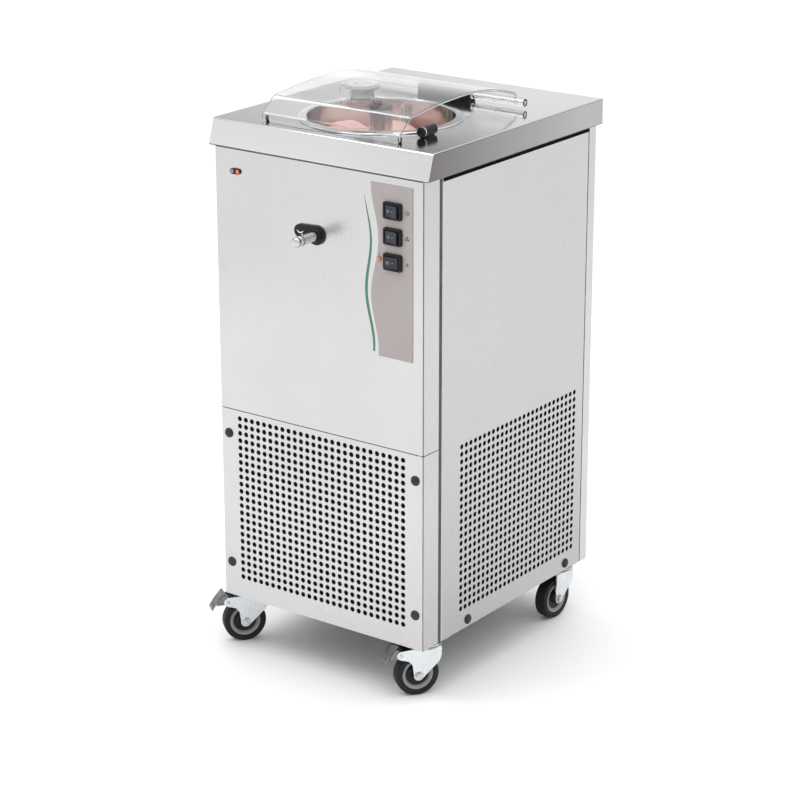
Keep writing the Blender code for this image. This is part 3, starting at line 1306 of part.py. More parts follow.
def build():
    start_scene()
    steel = material("brushed_steel", (0.72, 0.72, 0.71), 0.32, 1.0)
    frame_paint = material("frame_steel", (0.08, 0.08, 0.09), 0.55, 0.4)
    zinc = material("zinc_plate", (0.72, 0.75, 0.75), 0.35, 1.0)
    tyre = material("castor_rubber", (0.05, 0.05, 0.05), 0.6)
    black = material("black_plastic", (0.03, 0.03, 0.035), 0.4)
    clear = material("clear_plastic", (0.92, 0.94, 0.95), 0.08, 0.0, 0.3)
    beige = material("printed_beige", (0.45, 0.39, 0.37), 0.45)
    amber = material("amber_lens", (0.85, 0.30, 0.05), 0.25)
    copper = material("copper", (0.72, 0.40, 0.26), 0.35, 1.0)
    foam = material("foam", (0.80, 0.76, 0.62), 0.9)
    enamel = material("black_enamel", (0.04, 0.04, 0.045), 0.3)
    alloy = material("cast_alloy", (0.55, 0.56, 0.57), 0.5, 1.0)

    paint([make_front_grille(), make_front_panel(), make_side_panel(-1), make_side_panel(1),
           make_back_panel(), make_worktop()], steel)
    paint([make_base_frame()], frame_paint)
    paint([make_decal()], beige)
    for index, level in enumerate(switch_levels(), 1):
        paint(make_switch(index, level), black)
    paint([make_lamp()], amber)
    paint([make_capsule()], black)
    paint([make_bowl()], steel)
    paint([make_insulation()], foam)
    paint([make_coil()], copper)
    drain_tube, plug, escutcheon = make_drain()
    paint([drain_tube, plug], steel)
    paint([escutcheon], black)
    paint([make_paddle()], steel)
    bracket, gearbox, motor, shaft = make_drive()
    paint([bracket, shaft], zinc)
    paint([gearbox, motor], alloy)
    paint([make_condenser()], alloy)
    shroud, fan_motor, fan = make_fan_group()
    paint([shroud, fan_motor], enamel)
    paint([fan], alloy)
    paint([make_compressor()], enamel)
    paint(make_pipes(), copper)
    control, inlet = make_electrics()
    paint([control, inlet], black)
    paint([make_lid(), make_chute(), make_chute_cap()], clear)
    block, pin = make_hinge()
    paint([block, make_bumper(-1), make_bumper(1), make_sensor()], black)
    paint([pin], steel)
    for name in CASTOR_HEADINGS:
        paint([make_castor_mount(name), make_fork(name)], zinc)
        paint([make_wheel(name)], tyre)
        if name in BRAKED:
            paint([make_pedal(name)], zinc)
    centre_on_footprint()


build()
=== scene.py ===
"""Looks of the batch freezer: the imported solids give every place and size, and each visible piece is
modelled here in detail with a procedural finish.

Everything is built in the machine's own coordinates: X from the centre plane, Y back from the front
panel's face, Z up from the floor, in metres.
"""

import json
import math

import bmesh
import bpy
from mathutils import Matrix, Vector, noise


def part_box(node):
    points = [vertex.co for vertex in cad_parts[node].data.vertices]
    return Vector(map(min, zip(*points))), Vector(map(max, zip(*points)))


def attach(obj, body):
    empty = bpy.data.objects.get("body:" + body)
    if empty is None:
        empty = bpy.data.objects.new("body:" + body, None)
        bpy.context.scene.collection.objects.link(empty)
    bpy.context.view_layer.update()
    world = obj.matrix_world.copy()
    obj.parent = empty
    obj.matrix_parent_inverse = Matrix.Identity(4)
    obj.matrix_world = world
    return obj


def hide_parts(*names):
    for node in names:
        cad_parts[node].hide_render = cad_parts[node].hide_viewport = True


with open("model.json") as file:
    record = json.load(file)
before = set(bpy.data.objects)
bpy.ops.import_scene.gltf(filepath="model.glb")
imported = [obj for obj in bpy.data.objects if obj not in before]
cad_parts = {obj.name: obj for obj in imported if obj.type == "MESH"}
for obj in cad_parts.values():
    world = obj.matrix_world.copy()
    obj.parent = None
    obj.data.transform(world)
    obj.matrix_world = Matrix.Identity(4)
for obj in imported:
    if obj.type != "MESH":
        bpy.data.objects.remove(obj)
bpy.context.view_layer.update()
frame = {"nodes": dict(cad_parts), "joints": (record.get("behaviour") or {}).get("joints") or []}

# ---------------------------------------------------------------- places read from the frame
GAP = 0.0003
PANEL_LOW, PANEL_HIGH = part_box("front_panel")
GRILLE_LOW, GRILLE_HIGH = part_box("front_grille_panel")
TOP_LOW, TOP_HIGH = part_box("worktop")
BACK_LOW, BACK_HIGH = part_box("back_panel")
SIDE_LOW, SIDE_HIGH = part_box("right_panel")
BOWL_LOW, BOWL_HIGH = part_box("bowl")
LID_LOW, LID_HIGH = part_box("lid_cover")
CHUTE_LOW, CHUTE_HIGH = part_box("filling_chute")
BLOCK_LOW, BLOCK_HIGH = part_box("hinge_block")
PLATE_LOW, PLATE_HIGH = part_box("control_plate")
TUBE_LOW, TUBE_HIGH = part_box("drain_tube")

CENTRE = (PANEL_LOW.x + PANEL_HIGH.x) / 2
FACE = PANEL_LOW.y
HALF = (PANEL_HIGH.x - PANEL_LOW.x) / 2
DEPTH = BACK_HIGH.y - FACE
TOP = TOP_HIGH.z
RIM_BOTTOM = TOP_LOW.z
UNDER = GRILLE_LOW.z - GAP
BOWL_AXIS = (BOWL_LOW.y + BOWL_HIGH.y) / 2 - FACE
SPOUT = (TUBE_LOW.z + TUBE_HIGH.z) / 2
SHEET = 0.0012
JOINTS = {j["name"]: j for j in frame["joints"]}


def own(point):
    """A point of the row frame in the machine's own coordinates."""
    return Vector((point[0] - CENTRE, point[1] - FACE, point[2]))


# ---------------------------------------------------------------- finishes
def graph(name):
    """A new material's node tree, its Principled shader and an object-space coordinate output."""
    made = bpy.data.materials.new(name)
    made.use_nodes = True
    tree = made.node_tree
    shader = tree.nodes["Principled BSDF"]
    where = tree.nodes.new("ShaderNodeTexCoord").outputs["Object"]
    return made, tree, shader, where


def noise_node(tree, where, stretch, scale, detail=3.0):
    """Fractal noise in coordinates stretched by a vector."""
    mapping = tree.nodes.new("ShaderNodeMapping")
    mapping.inputs["Scale"].default_value = stretch
    tree.links.new(where, mapping.inputs["Vector"])
    made = tree.nodes.new("ShaderNodeTexNoise")
    made.inputs["Scale"].default_value = scale
    made.inputs["Detail"].default_value = detail
    tree.links.new(mapping.outputs["Vector"], made.inputs["Vector"])
    return made.outputs["Fac"]


def spread(tree, value, low, high):
    """Maps noise from its usual span to low..high."""
    made = tree.nodes.new("ShaderNodeMapRange")
    made.inputs["From Min"].default_value = 0.3
    made.inputs["From Max"].default_value = 0.7
    made.inputs["To Min"].default_value = low
    made.inputs["To Max"].default_value = high
    tree.links.new(value, made.inputs["Value"])
    return made.outputs["Result"]


def tint(tree, value, first, second):
    """A colour between two, by a value."""
    made = tree.nodes.new("ShaderNodeMix")
    made.data_type = "RGBA"
    made.inputs["A"].default_value = (*first, 1.0)
    made.inputs["B"].default_value = (*second, 1.0)
    tree.links.new(value, made.inputs["Factor"])
    return made.outputs["Result"]


def bump(tree, shader, height, strength, distance):
    """Relief from a height, fed to the shader's normal."""
    made = tree.nodes.new("ShaderNodeBump")
    made.inputs["Strength"].default_value = strength
    made.inputs["Distance"].default_value = distance
    tree.links.new(height, made.inputs["Height"])
    tree.links.new(made.outputs["Normal"], shader.inputs["Normal"])


def finish(name, dark, light, rough, metallic=0.0, stretch=(1, 1, 1), scale=200.0, relief=0.1,
           distance=0.0002, patch=25.0, **sockets):
    """A finish with a broad colour patchiness, a fine grain in roughness and a fine relief."""
    made, tree, shader, where = graph(name)
    broad = noise_node(tree, where, (1, 1, 1), patch)
    fine = noise_node(tree, where, stretch, scale)
    tree.links.new(tint(tree, spread(tree, broad, 0.0, 1.0), dark, light), shader.inputs["Base Color"])
    tree.links.new(spread(tree, fine, rough[0], rough[1]), shader.inputs["Roughness"])
    shader.inputs["Metallic"].default_value = metallic
    for key, value in sockets.items():
        shader.inputs[key.replace("_", " ")].default_value = value
    bump(tree, shader, fine, relief, distance)
    return made


def painted_light_gradient(name, start, end, dark, light, rough, stretch=(1, 1, 1), scale=600.0, relief=0.02):
    """Steel whose tone runs evenly from dark at one point to light at another: painted light, a gradient
    that stands in for shade and reflections on the steel.
    """
    made, tree, shader, where = graph(name)
    run = Vector(end) - Vector(start)
    away = tree.nodes.new("ShaderNodeVectorMath")
    away.operation = "SUBTRACT"
    away.inputs[1].default_value = start
    tree.links.new(where, away.inputs[0])
    along = tree.nodes.new("ShaderNodeVectorMath")
    along.operation = "DOT_PRODUCT"
    along.inputs[1].default_value = run / run.length_squared
    tree.links.new(away.outputs["Vector"], along.inputs[0])
    broad = noise_node(tree, where, (1, 1, 1), 7.0)
    drift = tree.nodes.new("ShaderNodeMath")
    drift.operation = "MULTIPLY_ADD"
    drift.inputs[1].default_value = 0.16
    tree.links.new(broad, drift.inputs[0])
    tree.links.new(along.outputs["Value"], drift.inputs[2])
    tree.links.new(tint(tree, drift.outputs["Value"], dark, light), shader.inputs["Base Color"])
    fine = noise_node(tree, where, stretch, scale)
    tree.links.new(spread(tree, fine, rough[0], rough[1]), shader.inputs["Roughness"])
    shader.inputs["Metallic"].default_value = 1.0
    bump(tree, shader, fine, relief, 0.0002)
    return made


UPRIGHT = (1.0, 1.0, 0.02)         # grain that runs up a panel
LENGTHWISE = (0.02, 1.0, 1.0)      # grain that runs along X


def make_looks():
    """Every finish, by name."""
    return {
        "panel": finish("panel_steel", (0.560, 0.553, 0.556), (0.615, 0.608, 0.611), (0.24, 0.29), 1.0,
                        UPRIGHT, 900.0, 0.008, 0.0002, 3.5),
        # painted shade: the side panels run from lighter at the top to darker towards the bottom
        "side": painted_light_gradient("side_steel_painted_shade", (0, 0, TOP), (0, 0, UNDER), (0.575, 0.575, 0.570),
                              (0.475, 0.473, 0.470), (0.24, 0.29), UPRIGHT, 900.0, 0.008),
        # painted shade: a darker copy of the panel steel for the front panels' returns, which face sideways
        "return": finish("return_steel_painted_shade", (0.530, 0.520, 0.510), (0.580, 0.570, 0.560), (0.26, 0.31), 1.0,
                         UPRIGHT, 900.0, 0.008, 0.0002, 3.5),
        "pedal": finish("dark_zinc", (0.16, 0.165, 0.17), (0.26, 0.265, 0.27), (0.30, 0.45), 1.0,
                        (1, 1, 1), 260.0, 0.10, 0.0002, 90.0),
        # painted shade: dark steel for the front panels' bends and the worktop's rolled hem
        "edge": finish("painted_shade_steel", (0.13, 0.13, 0.13), (0.19, 0.19, 0.19), (0.30, 0.40), 1.0),
        # painted reflection: the worktop runs from dark at the front left to light at the back right
        "worktop": painted_light_gradient("worktop_painted_reflection", (-HALF, 0.02, TOP), (HALF, 0.44, TOP),
                                 (0.36, 0.352, 0.352), (0.74, 0.73, 0.735), (0.09, 0.13),
                                 LENGTHWISE, 700.0, 0.012),
        # painted reflection: the front rim's steel is near white, darker at the left and lighter towards the
        # right
        "front_rim": painted_light_gradient("front_rim_painted_reflection", (-HALF, 0.0, TOP), (0.05, 0.0, TOP),
                                   (0.80, 0.79, 0.80), (0.97, 0.96, 0.965), (0.16, 0.22),
                                   LENGTHWISE, 700.0, 0.012),
        # painted reflection: the side rims' steel is dark at the front and lighter towards the back
        "side_rim": painted_light_gradient("side_rim_painted_reflection", (HALF, 0.0, TOP), (HALF, 0.5, TOP),
                                  (0.17, 0.162, 0.158), (0.43, 0.42, 0.415), (0.14, 0.20),
                                  (1.0, 0.02, 1.0), 700.0, 0.012),
        "bowl": finish("bowl_steel", (0.60, 0.60, 0.60), (0.68, 0.68, 0.68), (0.10, 0.20), 1.0,
                       (1, 1, 0.2), 300.0, 0.05, 0.0002, 20.0),
        "turned": finish("turned_steel", (0.55, 0.55, 0.55), (0.66, 0.66, 0.65), (0.16, 0.26), 1.0,
                         (1, 1, 1), 800.0, 0.05, 0.0001, 60.0),
        "zinc": finish("zinc_plate", (0.66, 0.69, 0.71), (0.71, 0.74, 0.76), (0.25, 0.33), 1.0,
                       (1, 1, 1), 260.0, 0.03, 0.0001, 90.0),
        "frame": finish("frame_paint", (0.05, 0.05, 0.055), (0.09, 0.09, 0.095), (0.45, 0.65), 0.3),
        "black": finish("black_plastic", (0.007, 0.007, 0.009), (0.014, 0.014, 0.017), (0.28, 0.42), 0.0,
                        (1, 1, 1), 900.0, 0.12, 0.0001, 80.0, Specular_IOR_Level=0.22),
        "rocker": finish("rocker_plastic", (0.020, 0.022, 0.030), (0.032, 0.034, 0.044), (0.20, 0.30), 0.0,
                         (1, 1, 1), 900.0, 0.06, 0.0001, 80.0, Specular_IOR_Level=0.30),
        "cap": finish("cap_plastic", (0.018, 0.019, 0.023), (0.030, 0.031, 0.036), (0.35, 0.50), 0.0,
                      (1, 1, 1), 700.0, 0.12, 0.0001, 90.0, Specular_IOR_Level=0.25),
        "tyre": finish("tyre_rubber", (0.008, 0.008, 0.009), (0.015, 0.015, 0.016), (0.50, 0.65), 0.0,
                       (1, 1, 1), 500.0, 0.20, 0.0002, 60.0, Specular_IOR_Level=0.25),
        "rim": finish("rim_plastic", (0.20, 0.205, 0.21), (0.27, 0.275, 0.28), (0.35, 0.50), 0.0,
                      (1, 1, 1), 600.0, 0.10, 0.0001, 60.0),
        "plate": finish("printed_plate", (0.345, 0.312, 0.302), (0.370, 0.336, 0.326), (0.38, 0.48), 0.0,
                        (1, 1, 1), 1200.0, 0.05, 0.0001, 12.0),
        "green": finish("printed_green", (0.035, 0.165, 0.100), (0.050, 0.205, 0.130), (0.35, 0.45), 0.0,
                        (1, 1, 1), 900.0, 0.04, 0.0001, 40.0),
        "ink": finish("grey_ink", (0.050, 0.048, 0.048), (0.075, 0.072, 0.072), (0.45, 0.55)),
        "mark": finish("white_ink", (0.62, 0.63, 0.65), (0.74, 0.75, 0.77), (0.40, 0.50)),
        "amber": finish("amber_lens", (0.72, 0.12, 0.012), (0.84, 0.19, 0.02), (0.15, 0.25), 0.0,
                        Coat_Weight=0.3, Emission_Color=(0.9, 0.2, 0.02, 1.0), Emission_Strength=0.08),
        "smoked": finish("smoked_lens", (0.20, 0.19, 0.19), (0.28, 0.27, 0.27), (0.15, 0.25), 0.0,
                         Coat_Weight=0.5),
        "copper": finish("copper_tube", (0.60, 0.30, 0.18), (0.75, 0.42, 0.27), (0.25, 0.40), 1.0),
        # painted shade: a near-black finish for sheets set behind the grilles' holes and for strips under
        # the worktop's rim, standing in for shade and shadow
        "shade_black": finish("painted_shade_sheet", (0.004, 0.004, 0.004), (0.010, 0.010, 0.010), (0.85, 0.95), 0.0,
                       (1, 1, 1), 900.0, 0.6, 0.0005, 60.0, Specular_IOR_Level=0.04),
        "foam": finish("foam", (0.70, 0.64, 0.46), (0.80, 0.75, 0.58), (0.80, 0.95), 0.0,
                       (1, 1, 1), 300.0, 0.5, 0.001, 40.0),
        "enamel": finish("black_enamel", (0.015, 0.015, 0.017), (0.028, 0.028, 0.030), (0.22, 0.36), 0.0,
                         Coat_Weight=0.3),
        "alloy": finish("cast_alloy", (0.42, 0.43, 0.44), (0.56, 0.57, 0.58), (0.40, 0.60), 1.0,
                        (1, 1, 1), 350.0, 0.25, 0.0003, 60.0),
        # near-black condenser fins: a dark coating, kept this dark also as painted shade seen through the
        # grille holes
        "fins": finish("fin_coating_and_shade", (0.020, 0.021, 0.023), (0.040, 0.041, 0.044), (0.45, 0.65), 0.2),
        "gelato": gelato_finish(),
        "nylon": finish("cream_nylon", (0.78, 0.72, 0.58), (0.86, 0.81, 0.69), (0.32, 0.45), 0.0,
                        (1, 1, 1), 500.0, 0.06, 0.0002, 60.0, Subsurface_Weight=0.1),
        "clear": clear_finish(),
        "frosted": finish("frosted_plastic", (0.88, 0.89, 0.90), (0.94, 0.95, 0.96), (0.12, 0.22), 0.0,
                          (1, 1, 1), 500.0, 0.05, 0.0001, 40.0, Transmission_Weight=0.72, IOR=1.45),
        # painted highlight: a whiter, less clear copy of the sheet for the lid's cut edges, which catch the
        # light
        "clear_edge_highlight": finish("clear_edge_highlight", (0.86, 0.88, 0.89), (0.93, 0.95, 0.96), (0.18, 0.30), 0.0,
                             (1, 1, 1), 500.0, 0.05, 0.0001, 40.0, Transmission_Weight=0.45, IOR=1.49),
    }


def gelato_finish():
    """Churned frozen fruit cream: soft pink with darker folds and a fine icy grain."""
    made, tree, shader, where = graph("gelato")
    broad = noise_node(tree, where, (1, 1, 1.6), 28.0, 4.0)
    grain = noise_node(tree, where, (1, 1, 1), 420.0, 4.0)
    colour = tint(tree, spread(tree, broad, 0.0, 1.0), (0.80, 0.42, 0.37), (0.88, 0.58, 0.53))
    tree.links.new(colour, shader.inputs["Base Color"])
    tree.links.new(spread(tree, grain, 0.38, 0.55), shader.inputs["Roughness"])
    shader.inputs["Subsurface Weight"].default_value = 0.25
    shader.inputs["Subsurface Radius"].default_value = (0.010, 0.005, 0.004)
    shader.inputs["Subsurface Scale"].default_value = 0.5
    bump(tree, shader, grain, 0.25, 0.0006)
    return made


def clear_finish():
    """Clear sheet: full transmission with faint wiping marks in its gloss."""
    made, tree, shader, where = graph("clear_sheet")
    marks = noise_node(tree, where, (1, 3, 1), 40.0, 5.0)
    tree.links.new(spread(tree, marks, 0.01, 0.05), shader.inputs["Roughness"])
    shader.inputs["Base Color"].default_value = (0.965, 0.975, 0.980, 1.0)
    shader.inputs["Transmission Weight"].default_value = 1.0
    shader.inputs["IOR"].default_value = 1.49
    bump(tree, shader, marks, 0.01, 0.0002)
    return made


LOOKS = make_looks()


# ---------------------------------------------------------------- mesh helpers
def add_box(bm, low, high):
    """A box between two corners. Returns its vertices."""
    low = Vector(low)
    high = Vector(high)
    made = bmesh.ops.create_cube(bm, size=1.0)["verts"]
    bmesh.ops.scale(bm, vec=high - low, verts=made)
    bmesh.ops.translate(bm, vec=(low + high) / 2, verts=made)
    return made


def round_edges(bm, verts, radius, segments=3, least_angle=25.0):
    """Bevels the edges among verts that turn by more than least_angle."""
    chosen = set(verts)
    edges = []
    for edge in {e for v in verts for e in v.link_edges}:
        if edge.verts[0] not in chosen or edge.verts[1] not in chosen or len(edge.link_faces) != 2:
            continue
        if edge.calc_face_angle(0) > math.radians(least_angle):
            edges.append(edge)
    bmesh.ops.bevel(bm, geom=edges, offset=radius, segments=segments, profile=0.5, affect="EDGES",
                    clamp_overlap=True)


def add_soft_box(bm, low, high, radius, segments=3):
    """A box between two corners, with rounded edges."""
    round_edges(bm, add_box(bm, low, high), radius, segments)


def turn_to(direction):
    """The rotation that takes +Z to a direction."""
    return Vector((0, 0, 1)).rotation_difference(Vector(direction)).to_matrix().to_4x4()


def join_rings(bm, rings):
    """Faces between rings that have as many points each."""
    for first, second in zip(rings, rings[1:]):
        for i in range(len(first)):
            j = (i + 1) % len(first)
            bm.faces.new((first[i], first[j], second[j], second[i]))


def add_turned(bm, profile, steps, place=(0, 0, 0), direction=(0, 0, 1), matrix=None):
    """A turned solid: (radius, height) points about an axis. A radius of 0 closes an end; a profile
    with no such end is a ring."""
    matrix = matrix or (Matrix.Translation(Vector(place)) @ turn_to(direction))
    rings = []
    for radius, height in profile:
        if radius < 1e-9:
            rings.append([bm.verts.new(matrix @ Vector((0, 0, height)))])
            continue
        ring = []
        for i in range(steps):
            angle = 2 * math.pi * i / steps
            ring.append(bm.verts.new(matrix @ Vector((radius * math.cos(angle), radius * math.sin(angle),
                                                      height))))
        rings.append(ring)
    pairs = list(zip(rings, rings[1:]))
    if len(rings[0]) > 1 and len(rings[-1]) > 1:
        pairs.append((rings[-1], rings[0]))
    for first, second in pairs:
        for i in range(steps):
            j = (i + 1) % steps
            corners = [first[i % len(first)], first[j % len(first)], second[j % len(second)],
                       second[i % len(second)]]
            bm.faces.new(list(dict.fromkeys(corners)))


def add_prism(bm, outline, depth, matrix, radius=0.0, segments=2):
    """A flat outline of (x, y) points made depth thick along its own Z, then placed by a matrix."""
    low = [bm.verts.new((x, y, 0)) for x, y in outline]
    high = [bm.verts.new((x, y, depth)) for x, y in outline]
    bm.faces.new(list(reversed(low)))
    bm.faces.new(high)
    count = len(outline)
    for i in range(count):
        j = (i + 1) % count
        bm.faces.new((low[i], low[j], high[j], high[i]))
    made = low + high
    if radius > 0:
        before = set(bm.verts) - set(made)
        round_edges(bm, made, radius, segments, 50.0)
        made = [v for v in bm.verts if v not in before]
    bmesh.ops.transform(bm, matrix=matrix, verts=made)
    return made


def add_bar(bm, path, radii, sides=12):
    """A round bar along a path, with a radius for each point."""
    rings = []
    side = None
    for i, point in enumerate(path):
        ahead = path[min(i + 1, len(path) - 1)] - path[max(i - 1, 0)]
        ahead.normalize()
        if side is None:
            side = ahead.orthogonal().normalized()
        side = (side - ahead * side.dot(ahead)).normalized()
        other = ahead.cross(side)
        ring = []
        for k in range(sides):
            angle = 2 * math.pi * k / sides
            ring.append(bm.verts.new(point + (side * math.cos(angle) + other * math.sin(angle)) * radii[i]))
        rings.append(ring)
    join_rings(bm, rings)
    bm.faces.new(list(reversed(rings[0])))
    bm.faces.new(rings[-1])


def add_sheet(bm, cells, place, thickness):
    """Sheet metal from flat cells, each a list of (u, v) corners in order. place(u, v, depth) gives
    a point that deep behind the outer face. Edges that only one cell has become cut edges."""
    index = {}
    outer = []
    inner = []

    def corner(u, v):
        key = (round(u * 1e6), round(v * 1e6))
        if key not in index:
            index[key] = len(outer)
            outer.append(bm.verts.new(place(u, v, 0.0)))
            inner.append(bm.verts.new(place(u, v, thickness)))
        return index[key]

    used = set()
    for cell in cells:
        ring = [corner(u, v) for u, v in cell]
        bm.faces.new([outer[i] for i in ring])
        bm.faces.new([inner[i] for i in reversed(ring)])
        for i, j in zip(ring, ring[1:] + ring[:1]):
            used.add((i, j))
    for i, j in used:
        if (j, i) not in used:
            bm.faces.new((outer[j], outer[i], inner[i], inner[j]))


def hole_cell(u0, u1, v0, v1, radius, segments=20):
    """A square cell with a round hole in its middle, as four cells that share its corners."""
    mu = (u0 + u1) / 2
    mv = (v0 + v1) / 2
    corners = [(u1, v0), (u1, v1), (u0, v1), (u0, v0)]
    steps = segments // 4
    cells = []
    for side in range(4):
        start = corners[side]
        end = corners[(side + 1) % 4]
        first = math.radians(-45 + 90 * side)
        ring = []
        for k in range(steps, -1, -1):
            angle = first + math.pi / 2 * k / steps
            ring.append((mu + radius * math.cos(angle), mv + radius * math.sin(angle)))
        cells.append([start, end, *ring])
    return cells


def grid_cells(us, vs, special=None):
    """Cells between the u and v breaks. special(i, j) may give a cell's own list of cells, or an
    empty list where the sheet is open."""
    cells = []
    for i in range(len(us) - 1):
        for j in range(len(vs) - 1):
            own_cells = special(i, j) if special else None
            if own_cells is None:
                cells.append([(us[i], vs[j]), (us[i + 1], vs[j]), (us[i + 1], vs[j + 1]),
                              (us[i], vs[j + 1])])
            else:
                cells.extend(own_cells)
    return cells


def fold(half, radius):
    """The mapping from a developed width and a depth in the sheet to (across, behind), for a sheet
    whose two ends are bent back round a radius."""
    flat = half - radius
    bend = radius * math.pi / 2

    def where(u, depth):
        side = 1 if u >= 0 else -1
        reach = abs(u)
        if reach <= flat:
            return u, depth
        if reach <= flat + bend:
            angle = (reach - flat) / radius
            bent = radius - depth
            return side * (flat + bent * math.sin(angle)), radius - bent * math.cos(angle)
        return side * (half - depth), radius + (reach - flat - bend)

    return where


def fold_breaks(half, back, radius, steps=4):
    """The developed widths where a folded sheet needs vertices, on its positive side."""
    flat = half - radius
    bend = radius * math.pi / 2
    breaks = [flat - 0.0006, flat]
    breaks += [flat + bend * k / steps for k in range(1, steps + 1)]
    breaks += [flat + bend + 0.0006, flat + bend + back - radius]
    return breaks


def piece(name, bm, look, body="machine", stands_for=(), slot=None, sharp=35.0, recalc=True):
    """Makes the object from a bmesh in the machine's own coordinates and lets it ride on its body."""
    if recalc:
        bmesh.ops.recalc_face_normals(bm, faces=bm.faces)
    mesh = bpy.data.meshes.new(name)
    bm.to_mesh(mesh)
    bm.free()
    mesh.shade_smooth()
    mesh.set_sharp_from_angle(angle=math.radians(sharp))
    mesh.materials.append(LOOKS[look])
    obj = bpy.data.objects.new(name, mesh)
    bpy.context.scene.collection.objects.link(obj)
    obj.location = (CENTRE, FACE, 0)
    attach(obj, body)
    if stands_for:
        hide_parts(*stands_for)
    return obj


def paint_faces(obj, look, chosen):
    """Gives the faces that a test picks a finish of their own."""
    obj.data.materials.append(LOOKS[look])
    for face in obj.data.polygons:
        if chosen(face):
            face.material_index = len(obj.data.materials) - 1


def carve(obj, cutter_bm):
    """Cuts a closed bmesh, in the machine's own coordinates, out of a piece."""
    bmesh.ops.recalc_face_normals(cutter_bm, faces=cutter_bm.faces)
    mesh = bpy.data.meshes.new("cutter")
    cutter_bm.to_mesh(mesh)
    cutter_bm.free()
    cutter = bpy.data.objects.new("cutter", mesh)
    bpy.context.scene.collection.objects.link(cutter)
    cutter.location = (CENTRE, FACE, 0)
    step = obj.modifiers.new("cut", "BOOLEAN")
    step.operation = "DIFFERENCE"
    step.solver = "EXACT"
    step.object = cutter
    bpy.context.view_layer.update()
    seen = obj.evaluated_get(bpy.context.evaluated_depsgraph_get())
    made = bpy.data.meshes.new_from_object(seen)
    obj.modifiers.clear()
    whole = obj.data
    obj.data = made
    bpy.data.objects.remove(cutter)
    bpy.data.meshes.remove(mesh)
    bpy.data.meshes.remove(whole)
    made.set_sharp_from_angle(angle=math.radians(35.0))


def turned(name, look, profile, steps, place=(0, 0, 0), direction=(0, 0, 1), matrix=None, **given):
    """A piece that is one turned solid."""
    bm = bmesh.new()
    add_turned(bm, profile, steps, place, direction, matrix)
    return piece(name, bm, look, **given)


def drill(obj, radius, start, end, steps, place, direction=(0, 0, 1)):
    """Cuts a round hole between two distances from a place."""
    cutter = bmesh.new()
    add_turned(cutter, [(0, start), (radius, start), (radius, end), (0, end)], steps, place, direction)
    carve(obj, cutter)


def arc(cx, cy, radius, start, end, steps):
    """Points on a circle between two angles in degrees."""
    points = []
    for i in range(steps + 1):
        angle = math.radians(start + (end - start) * i / steps)
        points.append((cx + radius * math.cos(angle), cy + radius * math.sin(angle)))
    return points


FLAT_FRONT = Matrix(((1, 0, 0, 0), (0, 0, -1, 0), (0, 1, 0, 0), (0, 0, 0, 1)))


def on_front(x, z, proud=0.0):
    """Places a flat shape drawn in X and Z on the front face, growing forwards."""
    return Matrix.Translation((x, -proud, z)) @ FLAT_FRONT


# ---------------------------------------------------------------- housing
HOLE = 0.0047                      # radius of the holes in the grilles
PITCH = 0.014
COLUMNS = 27
ROWS = 23
GRID_TOP = UNDER + 0.350
SIDE_GRID_START = 0.115            # first column behind the front panel's face
BEND = 0.0026
SEAM = 0.0015                      # open joint between the two front panels
SPOUT_HOLE = 0.0094
SPOUT_CELL = 0.012                 # half the square cell round the spout's hole
FRONT_CAP_LEVELS = (0.066, 0.318)  # above the body's underside
FRONT_CAP_INSET = 0.017
SIDE_CAP_PLACES = (0.138, 0.4595)  # behind the front panel's face
SIDE_CAP_LEVEL = 0.014
MAT = 0.0030                       # thickness of the near-black painted-shade sheets behind the side grilles
MAT_START = 0.105
MAT_END = 0.489
MAT_TOP = GRID_TOP + 0.009
MAT_BOTTOM = GRID_TOP - PITCH * (ROWS - 0.2)


def hole_breaks(first, count):
    """Cell edges round a row of holes whose first centre is given."""
    return [first + PITCH * (i - 0.5) for i in range(count + 1)]


def row_breaks(low, high):
    """Cell edges between two levels, with a row of cells round each row of holes."""
    return [low] + [GRID_TOP + PITCH * (0.5 - j) for j in range(ROWS, -1, -1)] + [high]


def perforated(us, vs, u_first, v_last):
    """Cells of a sheet with the grid of round holes, whose cells start at u_first and end at v_last."""
    start = min(range(len(us)), key=lambda i: abs(us[i] - u_first))
    bottom = min(range(len(vs)), key=lambda j: abs(vs[j] - (v_last - PITCH * ROWS)))

    def special(i, j):
        if start <= i < start + COLUMNS and bottom <= j < bottom + ROWS:
            return hole_cell(us[i], us[i + 1], vs[j], vs[j + 1], HOLE)
        return None

    return grid_cells(us, vs, special)


def front_sheet(name, cells_of, node):
    """One of the two front panels: flat, with both ends bent back. The returns get a darker copy of the
    steel and the bends a dark line, both painted shade."""
    back = GRILLE_HIGH.y - FACE
    where = fold(HALF, BEND)

    def place(u, v, depth):
        across, behind = where(u, depth)
        return Vector((across, behind, v))

    side = fold_breaks(HALF, back, BEND)
    bm = bmesh.new()
    add_sheet(bm, cells_of(side), place, SHEET)
    panel = piece(name, bm, "panel", stands_for=[node], slot="brushed_steel", recalc=False)
    near = HALF - BEND
    # painted shade: darker steel on the returns that face sideways
    paint_faces(panel, "return", lambda face: abs(face.center.x) > near and abs(face.normal.x) > 0.90)
    # painted shade: a dark line along the bends
    paint_faces(panel, "edge", lambda face: abs(face.center.x) > near and 0.45 < abs(face.normal.x) < 0.90)


